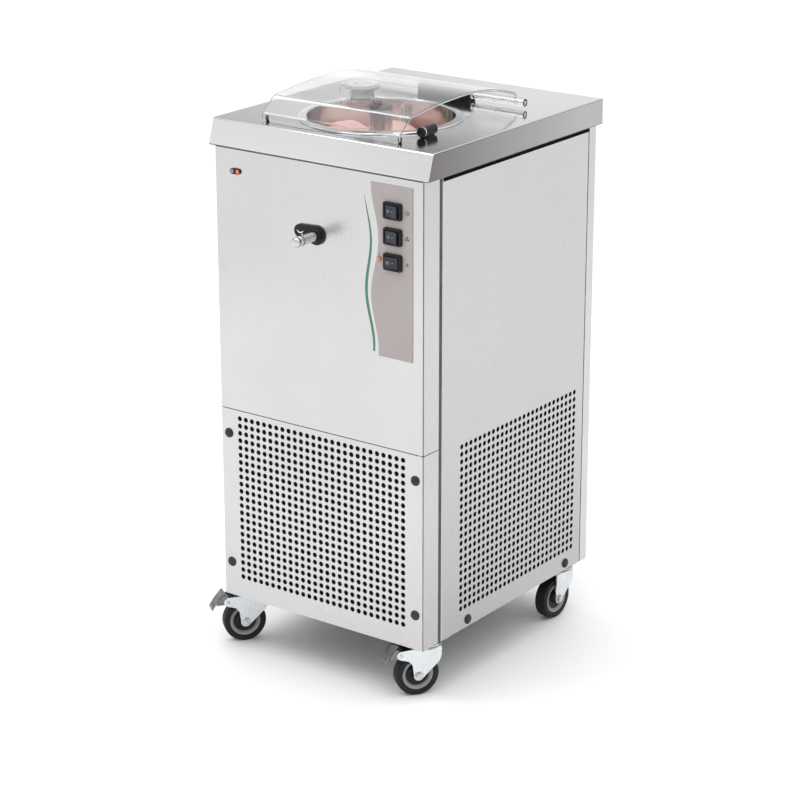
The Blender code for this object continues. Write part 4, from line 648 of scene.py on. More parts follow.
def make_front_panels():
    """The lower perforated panel, and the upper plain one with the spout's hole."""
    first = -PITCH * (COLUMNS - 1) / 2

    def grille_cells(side):
        us = [-u for u in reversed(side)] + hole_breaks(first, COLUMNS) + side
        vs = row_breaks(GRILLE_LOW.z, PANEL_LOW.z - SEAM)
        return perforated(us, vs, first - PITCH / 2, GRID_TOP + PITCH / 2)

    front_sheet("grille_front", grille_cells, "front_grille_panel")

    def plain_cells(side):
        us = [-u for u in reversed(side)] + [-SPOUT_CELL, SPOUT_CELL] + side
        vs = [PANEL_LOW.z, SPOUT - SPOUT_CELL, SPOUT + SPOUT_CELL, PANEL_HIGH.z]
        middle = len(side)

        def special(i, j):
            if i == middle and j == 1:
                return hole_cell(us[i], us[i + 1], vs[j], vs[j + 1], SPOUT_HOLE, 32)
            return None

        return grid_cells(us, vs, special)

    front_sheet("front_plate", plain_cells, "front_panel")


def make_side_panels():
    """The two side panels, perforated below, with a short fold at each end, and a near-black sheet behind
    them as painted shade in the holes.
    """
    start = SIDE_LOW.y - FACE
    end = SIDE_HIGH.y - FACE
    middle = (start + end) / 2
    half = (end - start) / 2
    back = 0.0030
    radius = 0.0022
    inner = HALF - SHEET - 0.0012
    where = fold(half, radius)
    for side, name in ((1, "right"), (-1, "left")):
        def place(u, v, depth, side=side):
            along, behind = where(u, depth)
            return Vector((side * (HALF - behind), middle + side * along, v))

        edge = fold_breaks(half, back, radius)
        first = SIDE_GRID_START - middle
        if side < 0:
            first = -(first + PITCH * (COLUMNS - 1))
        us = [-u for u in reversed(edge)] + hole_breaks(first, COLUMNS) + edge
        vs = row_breaks(SIDE_LOW.z, SIDE_HIGH.z)
        bm = bmesh.new()
        add_sheet(bm, perforated(us, vs, first - PITCH / 2, GRID_TOP + PITCH / 2), place, SHEET)
        piece(f"side_panel_{name}", bm, "side", stands_for=[f"{name}_panel"], slot="brushed_steel",
              recalc=False)

        # painted shade: near-black sheet behind the holes
        mat = inner - MAT if side > 0 else -inner
        soft_piece(f"painted_shade_sheet_{name}", "shade_black", (mat, MAT_START, MAT_BOTTOM), (mat + MAT, MAT_END, MAT_TOP),
                   0.0008, 2, "foam")


def soft_piece(name, look, low, high, radius, segments, slot):
    """A piece that is one box with soft edges."""
    bm = bmesh.new()
    add_soft_box(bm, low, high, radius, segments)
    piece(name, bm, look, slot=slot)


def make_front_shade_sheet():
    """A thin near-black sheet just behind the front grille: painted shade in its holes."""
    half = PITCH * COLUMNS / 2 + 0.002
    near = SHEET + 0.0005
    soft_piece("painted_shade_sheet_front", "shade_black", (-half, near, MAT_BOTTOM), (half, near + 0.0012, MAT_TOP),
               0.0004, 2, "foam")


def make_rim_shadow_strips():
    """Painted shadow: thin dark strips on the panels just under the worktop's rim, where the rim casts its
    shadow.
    """
    thick = 0.0008
    clear = 0.0001
    top = RIM_BOTTOM - 0.0004
    for start, name in ((HALF + clear, "right"), (-HALF - clear - thick, "left")):
        soft_piece(f"rim_shadow_strip_{name}", "shade_black", (start, SIDE_LOW.y - FACE, RIM_BOTTOM - 0.0108),
                   (start + thick, SIDE_HIGH.y - FACE, top), 0.0002, 1, "black_plastic")
    across = HALF - BEND
    # painted shadow under the front rim, in the dark cap finish
    soft_piece("rim_shadow_strip_front", "cap", (-across, -thick - clear, RIM_BOTTOM - 0.0017),
               (across, -clear, top), 0.0002, 1, "black_plastic")


def make_caps():
    """Dark push-in caps over the panel fasteners: a low dome on a thin flange."""
    radius = 0.0092
    profile = [(0, 0.0048), (radius * 0.30, 0.0047), (radius * 0.62, 0.0040), (radius * 0.86, 0.0026),
               (radius * 0.97, 0.0012), (radius, 0.0008), (radius, 0.0001), (0, 0.0001)]
    places = []
    for side in (-1, 1):
        for level in FRONT_CAP_LEVELS:
            places.append(((side * (HALF - FRONT_CAP_INSET), 0, UNDER + level), (0, -1, 0)))
        for along in SIDE_CAP_PLACES:
            places.append(((side * HALF, along, UNDER + SIDE_CAP_LEVEL), (side, 0, 0)))
    for i, (place, out) in enumerate(places, 1):
        turned(f"panel_cap_{i}", "cap", profile, 32, place, out, slot="black_plastic")


def add_screw(bm, place, out, radius=0.0036):
    """A low pan-head screw with a round socket in its middle."""
    add_turned(bm, [(0, 0.0010), (radius * 0.25, 0.0010), (radius * 0.25, 0.0019), (radius * 0.7, 0.0017),
                    (radius, 0.0007), (radius, 0.0), (0, 0.0)], 20, place, out)


def make_back_panel():
    """The back: a folded sheet with louvred slots, and screws along its edges."""
    back = DEPTH - (BACK_LOW.y - FACE)
    where = fold(HALF, BEND)

    def place(u, v, depth):
        across, behind = where(u, depth)
        return Vector((-across, DEPTH - behind, v))

    slots = 9
    slot_half = 0.110
    slot_middle = 0.060
    pitch = 0.022
    opening = 0.008
    bottom = UNDER + 0.070 + pitch
    side = fold_breaks(HALF, back, BEND)
    inlet = own(sum(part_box("power_inlet"), Vector()) / 2)
    port = 0.012
    us = [-u for u in side] + side
    us += [-inlet.x - port, -inlet.x + port, slot_middle - slot_half, slot_middle + slot_half]
    us.sort()
    vs = [BACK_LOW.z, inlet.z - port, inlet.z + port]
    for k in range(slots):
        vs += [bottom + pitch * k, bottom + pitch * k + opening]
    vs.append(BACK_HIGH.z)

    def special(i, j):
        middle_u = (us[i] + us[i + 1]) / 2
        middle_v = (vs[j] + vs[j + 1]) / 2
        if abs(middle_u + inlet.x) < port and abs(middle_v - inlet.z) < port:
            return hole_cell(us[i], us[i + 1], vs[j], vs[j + 1], 0.0102, 24)
        inside = abs(middle_u - slot_middle) < slot_half
        if inside and any(abs(middle_v - (bottom + pitch * k + opening / 2)) < 1e-6 for k in range(slots)):
            return []
        return None

    bm = bmesh.new()
    add_sheet(bm, grid_cells(us, vs, special), place, SHEET)
    piece("rear_panel", bm, "panel", stands_for=["back_panel"], slot="brushed_steel", recalc=False)

    bm = bmesh.new()
    for k in range(slots):
        level = bottom + pitch * k
        outline = [(0.0, opening + 0.0022)] + arc(0.0, opening * 0.5, 0.0052, 78, 0,
                                                  6) + [(0.0040, opening * 0.42)]
        outline += arc(0.0, opening * 0.5, 0.0040, 0, 78, 6) + [(0.0, opening + 0.0010)]
        matrix = Matrix(((0, 0, 1, -slot_middle - slot_half), (1, 0, 0, DEPTH + 0.0001), (0, 1, 0, level),
                         (0, 0, 0, 1)))
        add_prism(bm, outline, 2 * slot_half, matrix)
    piece("louvres", bm, "panel", slot="brushed_steel")

    bm = bmesh.new()
    for x in (-HALF + 0.014, HALF - 0.014):
        for share in (0.03, 0.27, 0.5, 0.73, 0.92):
            add_screw(bm, (x, DEPTH, UNDER + share * (TOP - UNDER)), (0, 1, 0))
    piece("rear_screws", bm, "zinc", slot="zinc_plate")


def rim_loop(inset, height, radius=0.0025, steps=4):
    """The worktop's outline at a height, moved in by inset: the front edge leans out downwards."""
    front_top = 0.011
    lean = 0.015 * (TOP - height) / (TOP - RIM_BOTTOM)
    x = (TOP_HIGH.x - TOP_LOW.x) / 2 - inset
    front = front_top - lean + inset
    back = (TOP_HIGH.y - FACE) - min(inset, 0.0016)
    radius = max(radius - inset, 0.0004)
    points = []
    for cx, cy, start in ((x - radius, front + radius, -90), (x - radius, back - radius, 0),
                          (-x + radius, back - radius, 90), (-x + radius, front + radius, 180)):
        points += [(px, py, height) for px, py in arc(cx, cy, radius, start, start + 90, steps)]
    return points


def make_worktop():
    """The folded top with its rolled edges and the round opening over the bowl. Its rims and hem get
    finishes of painted reflection and shade.
    """
    sheet = 0.0015
    bend = 0.0022
    strip = 0.0010
    hem = 0.0022
    profile = [(bend + strip, TOP)]
    for k in range(5):
        angle = math.pi / 2 * k / 4
        profile.append((bend * (1 - math.sin(angle)), TOP - bend * (1 - math.cos(angle))))
    profile += [(0.0, TOP - bend - strip), (0.0, RIM_BOTTOM + hem + strip), (0.0, RIM_BOTTOM + hem),
                (0.0003, RIM_BOTTOM + hem * 0.55), (0.0009, RIM_BOTTOM + hem * 0.2), (0.0018, RIM_BOTTOM),
                (0.0030, RIM_BOTTOM), (0.0032, RIM_BOTTOM + 0.0080), (sheet, RIM_BOTTOM + 0.0085),
                (sheet, TOP - bend), (bend, TOP - sheet), (bend + strip, TOP - sheet)]
    bm = bmesh.new()
    rings = [[bm.verts.new(p) for p in rim_loop(inset, height)] for inset, height in profile]
    join_rings(bm, rings)
    opening = (BOWL_HIGH.x - BOWL_LOW.x) / 2 - 0.0127
    sides = 96
    circles = []
    for ring, height in ((rings[0], TOP), (rings[-1], TOP - sheet)):
        circle = [bm.verts.new((x, y, height)) for x, y in arc(0, BOWL_AXIS, opening, 0, 360, sides)[:-1]]
        edges = [bm.edges.get((ring[i], ring[(i + 1) % len(ring)])) for i in range(len(ring))]
        edges += [bm.edges.new((circle[i], circle[(i + 1) % sides])) for i in range(sides)]
        bmesh.ops.triangle_fill(bm, use_beauty=True, use_dissolve=False, edges=edges)
        circles.append(circle)
    join_rings(bm, circles)
    pan = piece("worktop_pan", bm, "worktop", stands_for=["worktop"], slot="brushed_steel")
    # painted reflection: dark side rims
    paint_faces(pan, "side_rim", lambda face: abs(face.normal.x) > 0.8)
    # painted reflection: near-white front rim
    paint_faces(pan, "front_rim", lambda face: face.normal.y < -0.8)
    # painted shade: dark rolled hem under the rim
    paint_faces(pan, "edge", lambda face: face.center.z < RIM_BOTTOM + hem)


# ---------------------------------------------------------------- controls on the front
PLATE_FACE = FACE - PLATE_LOW.y    # how far the plate stands in front of the panel
INK = 0.00015                      # how far a printed mark stands proud


def plate_edge(share):
    """The plate's wavy left edge: x at a share of its height from the bottom."""
    right = PLATE_HIGH.x - CENTRE
    return right - 0.0795 - 0.0078 * math.sin(2 * math.pi * (1.55 * share - 0.30))


def make_plate():
    """The printed plate with its wavy edge, and the green stripe beside it."""
    right = PLATE_HIGH.x - CENTRE
    low = PLATE_LOW.z
    height = PLATE_HIGH.z - PLATE_LOW.z
    steps = 48
    corner = 0.0008
    outline = [(right - corner, low), (right, low + corner), (right, low + height - corner),
               (right - corner, low + height)]
    outline += [(plate_edge(1 - i / steps), low + height * (1 - i / steps)) for i in range(steps + 1)]
    bm = bmesh.new()
    add_prism(bm, outline, PLATE_FACE - GAP, on_front(0, 0, GAP))
    piece("printed_plate", bm, "plate", stands_for=["control_plate"], slot="printed_plate")

    bm = bmesh.new()
    band = []
    other = []
    for i in range(steps + 1):
        share = 0.02 + 0.90 * i / steps
        middle = plate_edge(share) - 0.013 + 0.004 * math.sin(5.2 * share + 0.6)
        width = 0.0052 * math.sin(math.pi * min(1.0, 0.18 + share * 0.92)) ** 0.6 + 0.0002
        band.append((middle + width / 2, low + height * share))
        other.append((middle - width / 2, low + height * share))
    add_prism(bm, band + other[::-1], 0.0002, on_front(0, 0, 0.0001))
    piece("green_stripe", bm, "green", slot="printed_plate")


def switch_place(index):
    """The middle of a switch's bezel on the plate."""
    low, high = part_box(f"switch_bezel_{index}")
    return own((low + high) / 2)


def make_switch(index):
    """A round-cornered rocker switch: a bezel with a sunk well, and the rocker with its marks in it."""
    low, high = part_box(f"switch_bezel_{index}")
    middle = switch_place(index)
    width = high.x - low.x
    height = high.z - low.z
    proud = FACE - low.y
    base = PLATE_FACE + 0.0002
    corner = 0.0042
    half_w = width / 2
    half_h = height / 2
    well_w = 0.0141
    well_h = 0.0106

    def ring(hw, hh, radius, out, steps=5):
        points = []
        for cx, cz, start in ((hw - radius, hh - radius, 0), (-hw + radius, hh - radius, 90),
                              (-hw + radius, -hh + radius, 180), (hw - radius, -hh + radius, 270)):
            points += arc(cx, cz, radius, start, start + 90, steps)
        return [bm.verts.new((middle.x + px, -out, middle.z + pz)) for px, pz in points]

    bm = bmesh.new()
    rings = [ring(half_w, half_h, corner, base)]
    for inset, tighter, sunk in ((0, 0, 0.0016), (0.0004, 0.0004, 0.0007), (0.0014, 0.0010, 0.0001),
                                 (0.0020, 0.0014, 0)):
        rings.append(ring(half_w - inset, half_h - inset, corner - tighter, proud - sunk))
    for outset, radius, out in ((0.0008, 0.0012, proud), (0.0002, 0.0008, proud - 0.0006),
                                (0, 0.0006, proud - 0.0012), (0, 0.0006, base - 0.0009)):
        rings.append(ring(well_w + outset, well_h + outset, radius, out))
    join_rings(bm, rings)
    bm.faces.new(rings[-1])
    bm.faces.new(list(reversed(rings[0])))
    piece(f"bezel_{index}", bm, "black", stands_for=[f"switch_bezel_{index}"], slot="black_plastic")

    rocker_low, rocker_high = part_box(f"rocker_{index}")
    pivot = own(JOINTS[f"switch_{index}_rock"]["pos_m"])
    sign = -1 if JOINTS[f"switch_{index}_rock"]["range_deg"][0] < 0 else 1
    reach = (rocker_high.x - rocker_low.x) / 2
    tall = (rocker_high.z - rocker_low.z) / 2
    front = pivot.y - own(rocker_low).y
    sunk = front * 0.52

    def level(share):
        return sunk + (front - sunk) * share - 0.0011 * math.sin(math.pi * share)

    outline = [(-reach, -0.0010), (-reach, sunk - 0.0006), (-reach + 0.0006, sunk)]
    outline += [(-reach + 2 * reach * (k / 12), level(k / 12)) for k in range(1, 12)]
    outline += [(reach - 0.0006, front - 0.0001), (reach, front - 0.0007), (reach * 0.90, -0.0020),
                (0.0, -0.0062), (-reach * 0.90, -0.0020)]
    outline = [(x * sign, y) for x, y in outline]
    matrix = Matrix(((1, 0, 0, pivot.x), (0, -1, 0, pivot.y), (0, 0, 1, pivot.z - tall), (0, 0, 0, 1)))
    bm = bmesh.new()
    add_prism(bm, outline, 2 * tall, matrix, 0.0005, 2)
    body = f"rocker_{index}"
    piece(f"rocker_cap_{index}", bm, "rocker", body, [f"rocker_{index}"], "black_plastic", 30.0)

    def face_point(x, up, out):
        share = (x * sign + reach) / (2 * reach)
        return Vector((pivot.x + x, pivot.y - level(share) - out, pivot.z + up))

    bm = bmesh.new()
    for k in range(24):
        angle = 2 * math.pi * k / 24
        after = 2 * math.pi * (k + 1) / 24
        quad = []
        for radius, turn in ((0.0026, angle), (0.0026, after), (0.0019, after), (0.0019, angle)):
            x = -0.0060 + radius * math.cos(turn)
            quad.append(bm.verts.new(face_point(x, radius * math.sin(turn), 0.0004)))
        bm.faces.new(quad)
    for start in (0.0012, 0.0030):
        bar = [(start, -0.0005), (start + 0.0018, -0.0005), (start + 0.0018, 0.0005), (start, 0.0005)]
        bm.faces.new([bm.verts.new(face_point(x, up, 0.0004)) for x, up in bar])
    bmesh.ops.solidify(bm, geom=list(bm.faces), thickness=0.0001)
    piece(f"rocker_marks_{index}", bm, "mark", body, slot="black_plastic")


def make_icons():
    """Plain grey pictograms right of the switches: a ringed sun, three dots and a small fan."""
    x = PLATE_HIGH.x - CENTRE - 0.0115
    for index in (1, 2, 3):
        middle = switch_place(index)
        bm = bmesh.new()
        matrix = on_front(x, middle.z, PLATE_FACE)
        if index == 1:
            ring = arc(0, 0, 0.0029, 0, 360, 24) + arc(0, 0, 0.0019, 360, 0, 24)
            add_prism(bm, ring, INK, matrix)
            for k in range(8):
                turn = Matrix.Rotation(math.radians(45 * k), 4, "Z")
                tick = [(0.0031, -0.0006), (0.0043, -0.0006), (0.0043, 0.0006), (0.0031, 0.0006)]
                add_prism(bm, tick, INK, matrix @ turn)
        elif index == 2:
            for k in range(3):
                angle = math.radians(90 + 120 * k)
                dot = arc(0.0027 * math.cos(angle), 0.0027 * math.sin(angle), 0.0019, 0, 345, 15)
                add_prism(bm, dot, INK, matrix)
        else:
            for k in range(4):
                turn = Matrix.Rotation(math.radians(90 * k), 4, "Z")
                blade = [(0.0005, 0.0)] + arc(0.0022, 0.0006, 0.0015, 230, 20, 8)
                add_prism(bm, blade, INK, matrix @ turn)
        piece(f"icon_{index}", bm, "ink", slot="printed_plate")


def make_lamps():
    """The small amber lamp on the plate, and the two-lens indicator at the panel's left."""
    lamp_low, lamp_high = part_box("power_lamp")
    middle = own((lamp_low + lamp_high) / 2)
    radius = (lamp_high.x - lamp_low.x) / 2
    dome = [(0, 0.0030), (radius * 0.35, 0.0029), (radius * 0.68, 0.0023), (radius * 0.82, 0.0012),
            (radius * 0.84, 0.0), (0, 0.0)]
    turned("amber_lamp", "amber", dome, 32, (middle.x, -PLATE_FACE - 0.0002, middle.z), (0, -1, 0),
           stands_for=["power_lamp"], slot="amber_lens")
    ring = [(radius * 0.86, 0.0009), (radius, 0.0006), (radius, 0.0), (radius * 0.86, 0.0)]
    turned("lamp_ring", "black", ring, 32, (middle.x, -PLATE_FACE - 0.0001, middle.z), (0, -1, 0),
           slot="black_plastic")
    bm = bmesh.new()
    stub = [(-0.0003, 0.0048), (0.0003, 0.0048), (0.0003, 0.0085), (-0.0003, 0.0085)]
    add_prism(bm, stub, INK, on_front(middle.x, middle.z, PLATE_FACE))
    cross = [(-0.0018, 0.0082), (0.0018, 0.0082), (0.0018, 0.0088), (-0.0018, 0.0088)]
    add_prism(bm, cross, INK, on_front(middle.x, middle.z, PLATE_FACE))
    piece("lamp_icon", bm, "ink", slot="printed_plate")

    low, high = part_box("indicator_capsule")
    middle = own((low + high) / 2)
    half = (high.x - low.x) / 2
    radius = (high.z - low.z) / 2
    rise = FACE - low.y
    outline = arc(half - radius, 0, radius, -90, 90, 12) + arc(-half + radius, 0, radius, 90, 270, 12)
    bm = bmesh.new()
    add_prism(bm, outline, rise - 0.0003, on_front(middle.x, middle.z, 0.0002), 0.0009, 3)
    piece("indicator_body", bm, "black", stands_for=["indicator_capsule"], slot="black_plastic")
    lens = [(0, 0.0014), (0.0021, 0.0012), (0.0035, 0.0005), (0.0038, 0.0), (0, -0.0002)]
    for side, look, name in ((-1, "smoked", "left"), (1, "amber", "right")):
        x = middle.x + side * (half - radius)
        turned(f"indicator_lens_{name}", look, lens, 28, (x, -rise, middle.z), (0, -1, 0), slot="amber_lens")


# ---------------------------------------------------------------- bowl, drain and paddle
DRAIN_BORE = 0.0068
DRAIN_PIPE = 0.0088                # outer radius

def make_bowl():
    """The bowl: a rolled steel ring on the worktop, straight walls and the raised centre tube."""
    inner = (BOWL_HIGH.x - BOWL_LOW.x) / 2 - 0.015
    wall = 0.002
    floor = BOWL_LOW.z + wall
    tube = 0.0145
    tube_top = TOP - 0.030
    ring = inner + 0.015
    base = TOP + 0.0002
    profile = [(inner - 0.0006, TOP - 0.012), (inner - 0.0004, base + 0.0008)]
    profile += arc(inner + 0.0022, base + 0.0010, 0.0026, 180, 90, 6)
    profile += [(inner + 0.0060, base + 0.0032), (ring - 0.0040, base + 0.0028)]
    profile += arc(ring - 0.0022, base + 0.0006, 0.0022, 80, 0, 5)
    profile += [(ring, base), (inner + wall, base), (inner + wall, floor + 0.010)]
    profile += arc(inner + wall - 0.010, floor + 0.010 - wall, 0.010, 0, -90, 6)[1:]
    profile += [(0.0083, floor - wall), (0.0083, tube_top)]
    profile += [(tube - 0.001, tube_top), (tube, tube_top - 0.001), (tube, floor + 0.003),
                (tube + 0.003, floor)]
    profile += arc(inner - 0.009, floor + 0.009, 0.009, -90, 0, 6)
    bowl = turned("bowl_shell", "bowl", profile, 96, (0, BOWL_AXIS, 0), stands_for=["bowl"],
                  slot="brushed_steel", sharp=50.0)
    drill(bowl, DRAIN_BORE, 0.0, -0.03, 24, (0, BOWL_AXIS - inner - 0.012, SPOUT), (0, -1, 0))


# each heap's x and y from the bowl's axis, its radius and its height
HEAPS = ((-0.082, 0.010, 0.052, 0.044), (-0.030, 0.072, 0.055, 0.040), (0.046, 0.066, 0.050, 0.036),
         (-0.060, -0.064, 0.046, 0.034), (0.082, 0.004, 0.050, 0.038), (0.030, -0.080, 0.048, 0.026))


def gelato_height(radius, angle, inner, outer):
    """How far the churned cream stands above its lowest level: round heaps, as the scrapers pile it."""
    share = (radius - inner) / (outer - inner)
    place = Vector((radius * math.cos(angle), radius * math.sin(angle), 0.0))
    rise = 0.0
    for x, y, size, height in HEAPS:
        away = (place - Vector((x, y, 0.0))).length / size
        if away < 1.0:
            rise = max(rise, height * math.sqrt(1.0 - away * away))
    lumps = 0.0040 * noise.noise(place * 30.0) + 0.0012 * noise.noise(place * 110.0)
    edge = -0.006 * max(0.0, (share - 0.88) / 0.12) ** 2
    return rise * (1.0 - 0.35 * max(0.0, (share - 0.8) / 0.2)) + lumps + edge


def make_gelato():
    """The cream in the bowl: a closed ring-shaped mass round the hub, heaped and folded on top."""
    inner = 0.0214
    outer = 0.1262
    bottom = BOWL_LOW.z + 0.0065
    level = TOP - 0.066
    rings = 44
    sectors = 168
    bm = bmesh.new()
    top = []
    for r in range(rings + 1):
        radius = inner + (outer - inner) * r / rings
        ring = []
        for s in range(sectors):
            angle = 2 * math.pi * s / sectors
            height = level + gelato_height(radius, angle, inner, outer)
            ring.append(bm.verts.new((radius * math.cos(angle), BOWL_AXIS + radius * math.sin(angle),
                                      height)))
        top.append(ring)
    base = []
    for radius in (outer, inner):
        base.append([bm.verts.new((radius * math.cos(2 * math.pi * s / sectors),
                                   BOWL_AXIS + radius * math.sin(2 * math.pi * s / sectors), bottom))
                     for s in range(sectors)])
    join_rings(bm, top + base + [top[0]])
    piece("gelato_mass", bm, "gelato", "paddle", sharp=80.0)


BLADE_ANGLES = (-12.0, 108.0, 228.0)


def make_paddle():
    """The hub with its dark top cap, three arms and the cream scraper blades that clean the wall."""
    low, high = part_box("paddle")
    radius = 0.0205
    bottom = low.z
    top = high.z
    shoulder = top - 0.006
    profile = [(0, shoulder), (radius - 0.0012, shoulder), (radius, shoulder - 0.0012), (radius, bottom),
               (radius - 0.003, bottom), (radius - 0.003, TOP - 0.018), (0, TOP - 0.018)]
    turned("paddle_hub", "turned", profile, 48, (0, BOWL_AXIS, 0), body="paddle", stands_for=["paddle"],
           slot="brushed_steel")
    profile = [(0, top - 0.0012), (0.007, top - 0.0012), (0.0078, top - 0.0002), (0.0165, top - 0.0002),
               (0.0190, top - 0.0012), (0.0203, top - 0.0032), (0.0203, shoulder + GAP),
               (0, shoulder + GAP)]
    turned("hub_cap", "cap", profile, 48, (0, BOWL_AXIS, 0), body="paddle", slot="black_plastic")
    reach = 0.127
    bm = bmesh.new()
    nylon = bmesh.new()
    outline = [(-0.012, -0.0018), (-0.006, -0.0028), (-0.0010, -0.0022), (0.0, 0.0002), (-0.0030, 0.0020),
               (-0.012, 0.0022)]
    for angle in BLADE_ANGLES:
        turn = Matrix.Translation((0, BOWL_AXIS, 0)) @ Matrix.Rotation(math.radians(angle), 4, "Z")
        before = set(bm.verts)
        add_soft_box(bm, (radius - 0.001, -0.002, bottom), (reach - 0.016, 0.002, bottom + 0.030), 0.0008,
                     2)
        add_soft_box(bm, (reach - 0.020, -0.0022, bottom + 0.010), (reach - 0.010, 0.0022, TOP - 0.012),
                     0.0008, 2)
        bmesh.ops.transform(bm, matrix=turn, verts=[v for v in bm.verts if v not in before])
        foot = Matrix.Translation((reach, 0, bottom + 0.012))
        add_prism(nylon, outline, TOP - 0.006 - bottom - 0.012, turn @ foot, 0.0003, 1)
    piece("paddle_arms", bm, "turned", "paddle", slot="brushed_steel")
    piece("scraper_blades", nylon, "nylon", "paddle", slot="brushed_steel")


def make_drain():
    """The drain: a steel tube through a black escutcheon, with the grooved plug in it."""
    wall = BOWL_AXIS - 0.132 - GAP
    front = own(TUBE_LOW).y
    run = wall - front
    profile = [(DRAIN_BORE, run), (DRAIN_PIPE - 0.0008, run), (DRAIN_PIPE, run - 0.0008), (DRAIN_PIPE, 0),
               (DRAIN_BORE, 0)]
    turned("drain_pipe", "turned", profile, 40, (0, wall, SPOUT), (0, -1, 0), stands_for=["drain_tube"],
           slot="brushed_steel")

    low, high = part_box("drain_plug")
    tip = own(high).y
    length = tip - front
    end = tip - own(low).y
    head = DRAIN_PIPE
    profile = [(0, end), (head * 0.40, end - 0.0002), (head * 0.75, end - 0.0012),
               (head * 0.95, end - 0.0028),
               (head, end - 0.0045), (head, length + 0.0052), (head - 0.0014, length + 0.0046),
               (head - 0.0014, length + 0.0032), (head, length + 0.0026), (head, length + 0.0006),
               (0.0064, length + 0.0006), (0.0064, 0.0006), (0.0058, 0), (0, 0)]
    turned("plug_rod", "turned", profile, 40, (0, tip, SPOUT), (0, -1, 0), body="drain_plug",
           stands_for=["drain_plug"], slot="brushed_steel")
    at = length + 0.0039
    profile = [(head - 0.0006, at + 0.0007), (head + 0.0001, at), (head - 0.0006, at - 0.0007),
               (head - 0.0016, at)]
    turned("plug_seal", "black", profile, 40, (0, tip, SPOUT), (0, -1, 0), body="drain_plug",
           slot="black_plastic")
    at = run - 0.007
    profile = [(0.0087, at + 0.0008), (0.0092, at + 0.0004), (0.0092, at - 0.0004), (0.0087, at - 0.0008),
               (0.0082, at)]
    turned("drain_ring", "black", profile, 40, (0, wall, SPOUT), (0, -1, 0), slot="black_plastic")

    low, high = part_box("drain_escutcheon")
    hub = (high.z - low.z) / 2
    span = 0.035
    lobe = 0.012
    lean = math.degrees(math.asin((hub - lobe) / span))
    outline = arc(0, 0, hub, -90 - lean, 84 + lean, 24) + arc(-span, 0.003, lobe, 84 + lean, 270 - lean, 16)
    rise = 0.0040
    bm = bmesh.new()
    add_prism(bm, outline, rise, on_front(0, SPOUT, GAP), 0.0014, 4)
    cover = piece("escutcheon", bm, "black", stands_for=["drain_escutcheon"], slot="black_plastic")
    drill(cover, 0.0092, 0.02, -0.02, 40, (0, 0, SPOUT), (0, -1, 0))
    profile = [(0.0093, 0.0078), (0.0112, 0.0078), (0.0122, 0.0068), (0.0128, 0.0044), (0.0093, 0.0044)]
    turned("escutcheon_collar", "black", profile, 40, (0, 0, SPOUT), (0, -1, 0), slot="black_plastic")

    bm = bmesh.new()
    matrix = on_front(-span + 0.001, SPOUT + 0.003, rise + GAP)
    dish = arc(0, 0.0040, 0.0078, 205, 335, 16) + arc(0, 0.0052, 0.0068, 325, 215, 14)
    add_prism(bm, dish, INK, matrix)
    drop = [(0.0045, -0.0030)] + arc(0.0045, -0.0062, 0.0014, 150, 390, 10)
    add_prism(bm, drop, INK, matrix)
    piece("escutcheon_mark", bm, "mark", slot="black_plastic")


# ---------------------------------------------------------------- lid
HINGE = own(JOINTS["lid_hinge"]["pos_m"])
LID_HALF = 0.1475
LID_SHEET = 0.0038
CHUTE_PIPE = 0.0205                # outer radius of the filling tube


def rounded(corners, radius, steps=6):
    """An open line of (y, z) corners with each inner corner turned into a small curve."""
    points = [corners[0]]
    for before, corner, after in zip(corners, corners[1:], corners[2:]):
        into = Vector((corner[0] - before[0], corner[1] - before[1]))
        out = Vector((after[0] - corner[0], after[1] - corner[1]))
        reach = min(radius, into.length * 0.45, out.length * 0.45)
        start = Vector(corner) - into.normalized() * reach
        end = Vector(corner) + out.normalized() * reach
        for k in range(steps + 1):
            t = k / steps
            point = start * (1 - t) ** 2 + Vector(corner) * 2 * t * (1 - t) + end * t * t
            points.append((point.x, point.y))
    return points


def lid_outline():
    """The lid's outer face from the lip back to the hinge, as (y, z) points."""
    front = own(LID_LOW).y
    end = (0.386, TOP + 0.0255)
    crest = 0.235
    crown = TOP + 0.0512
    fold_at = (front + 0.0320, TOP + 0.0397)
    points = rounded([(front, TOP + 0.0030), (front, TOP + 0.0130), fold_at,
                      (front + 0.048, TOP + 0.0418)], 0.0055)
    start = front + 0.048
    steps = 24
    for i in range(1, steps + 1):
        y = start + (end[0] - start) * i / steps
        if y < crest:
            share = (y - crest) / (0.072 - crest)
            z = crown - (crown - TOP - 0.0395) * share * share
        else:
            share = (y - crest) / (end[0] - crest)
            z = crown - (crown - end[1]) * share * share
        points.append((y, z))
    points += [(0.3880, TOP + 0.0238), (0.3888, TOP + 0.0215), (0.3890, TOP + 0.0120)]
    return points


def offset_line(points, depth):
    """An open line moved inwards, to the right of its direction."""
    made = []
    for i, (y, z) in enumerate(points):
        before = points[max(i - 1, 0)]
        after = points[min(i + 1, len(points) - 1)]
        run = Vector((after[0] - before[0], after[1] - before[1])).normalized()
        made.append((y + run.y * depth, z - run.x * depth))
    return made


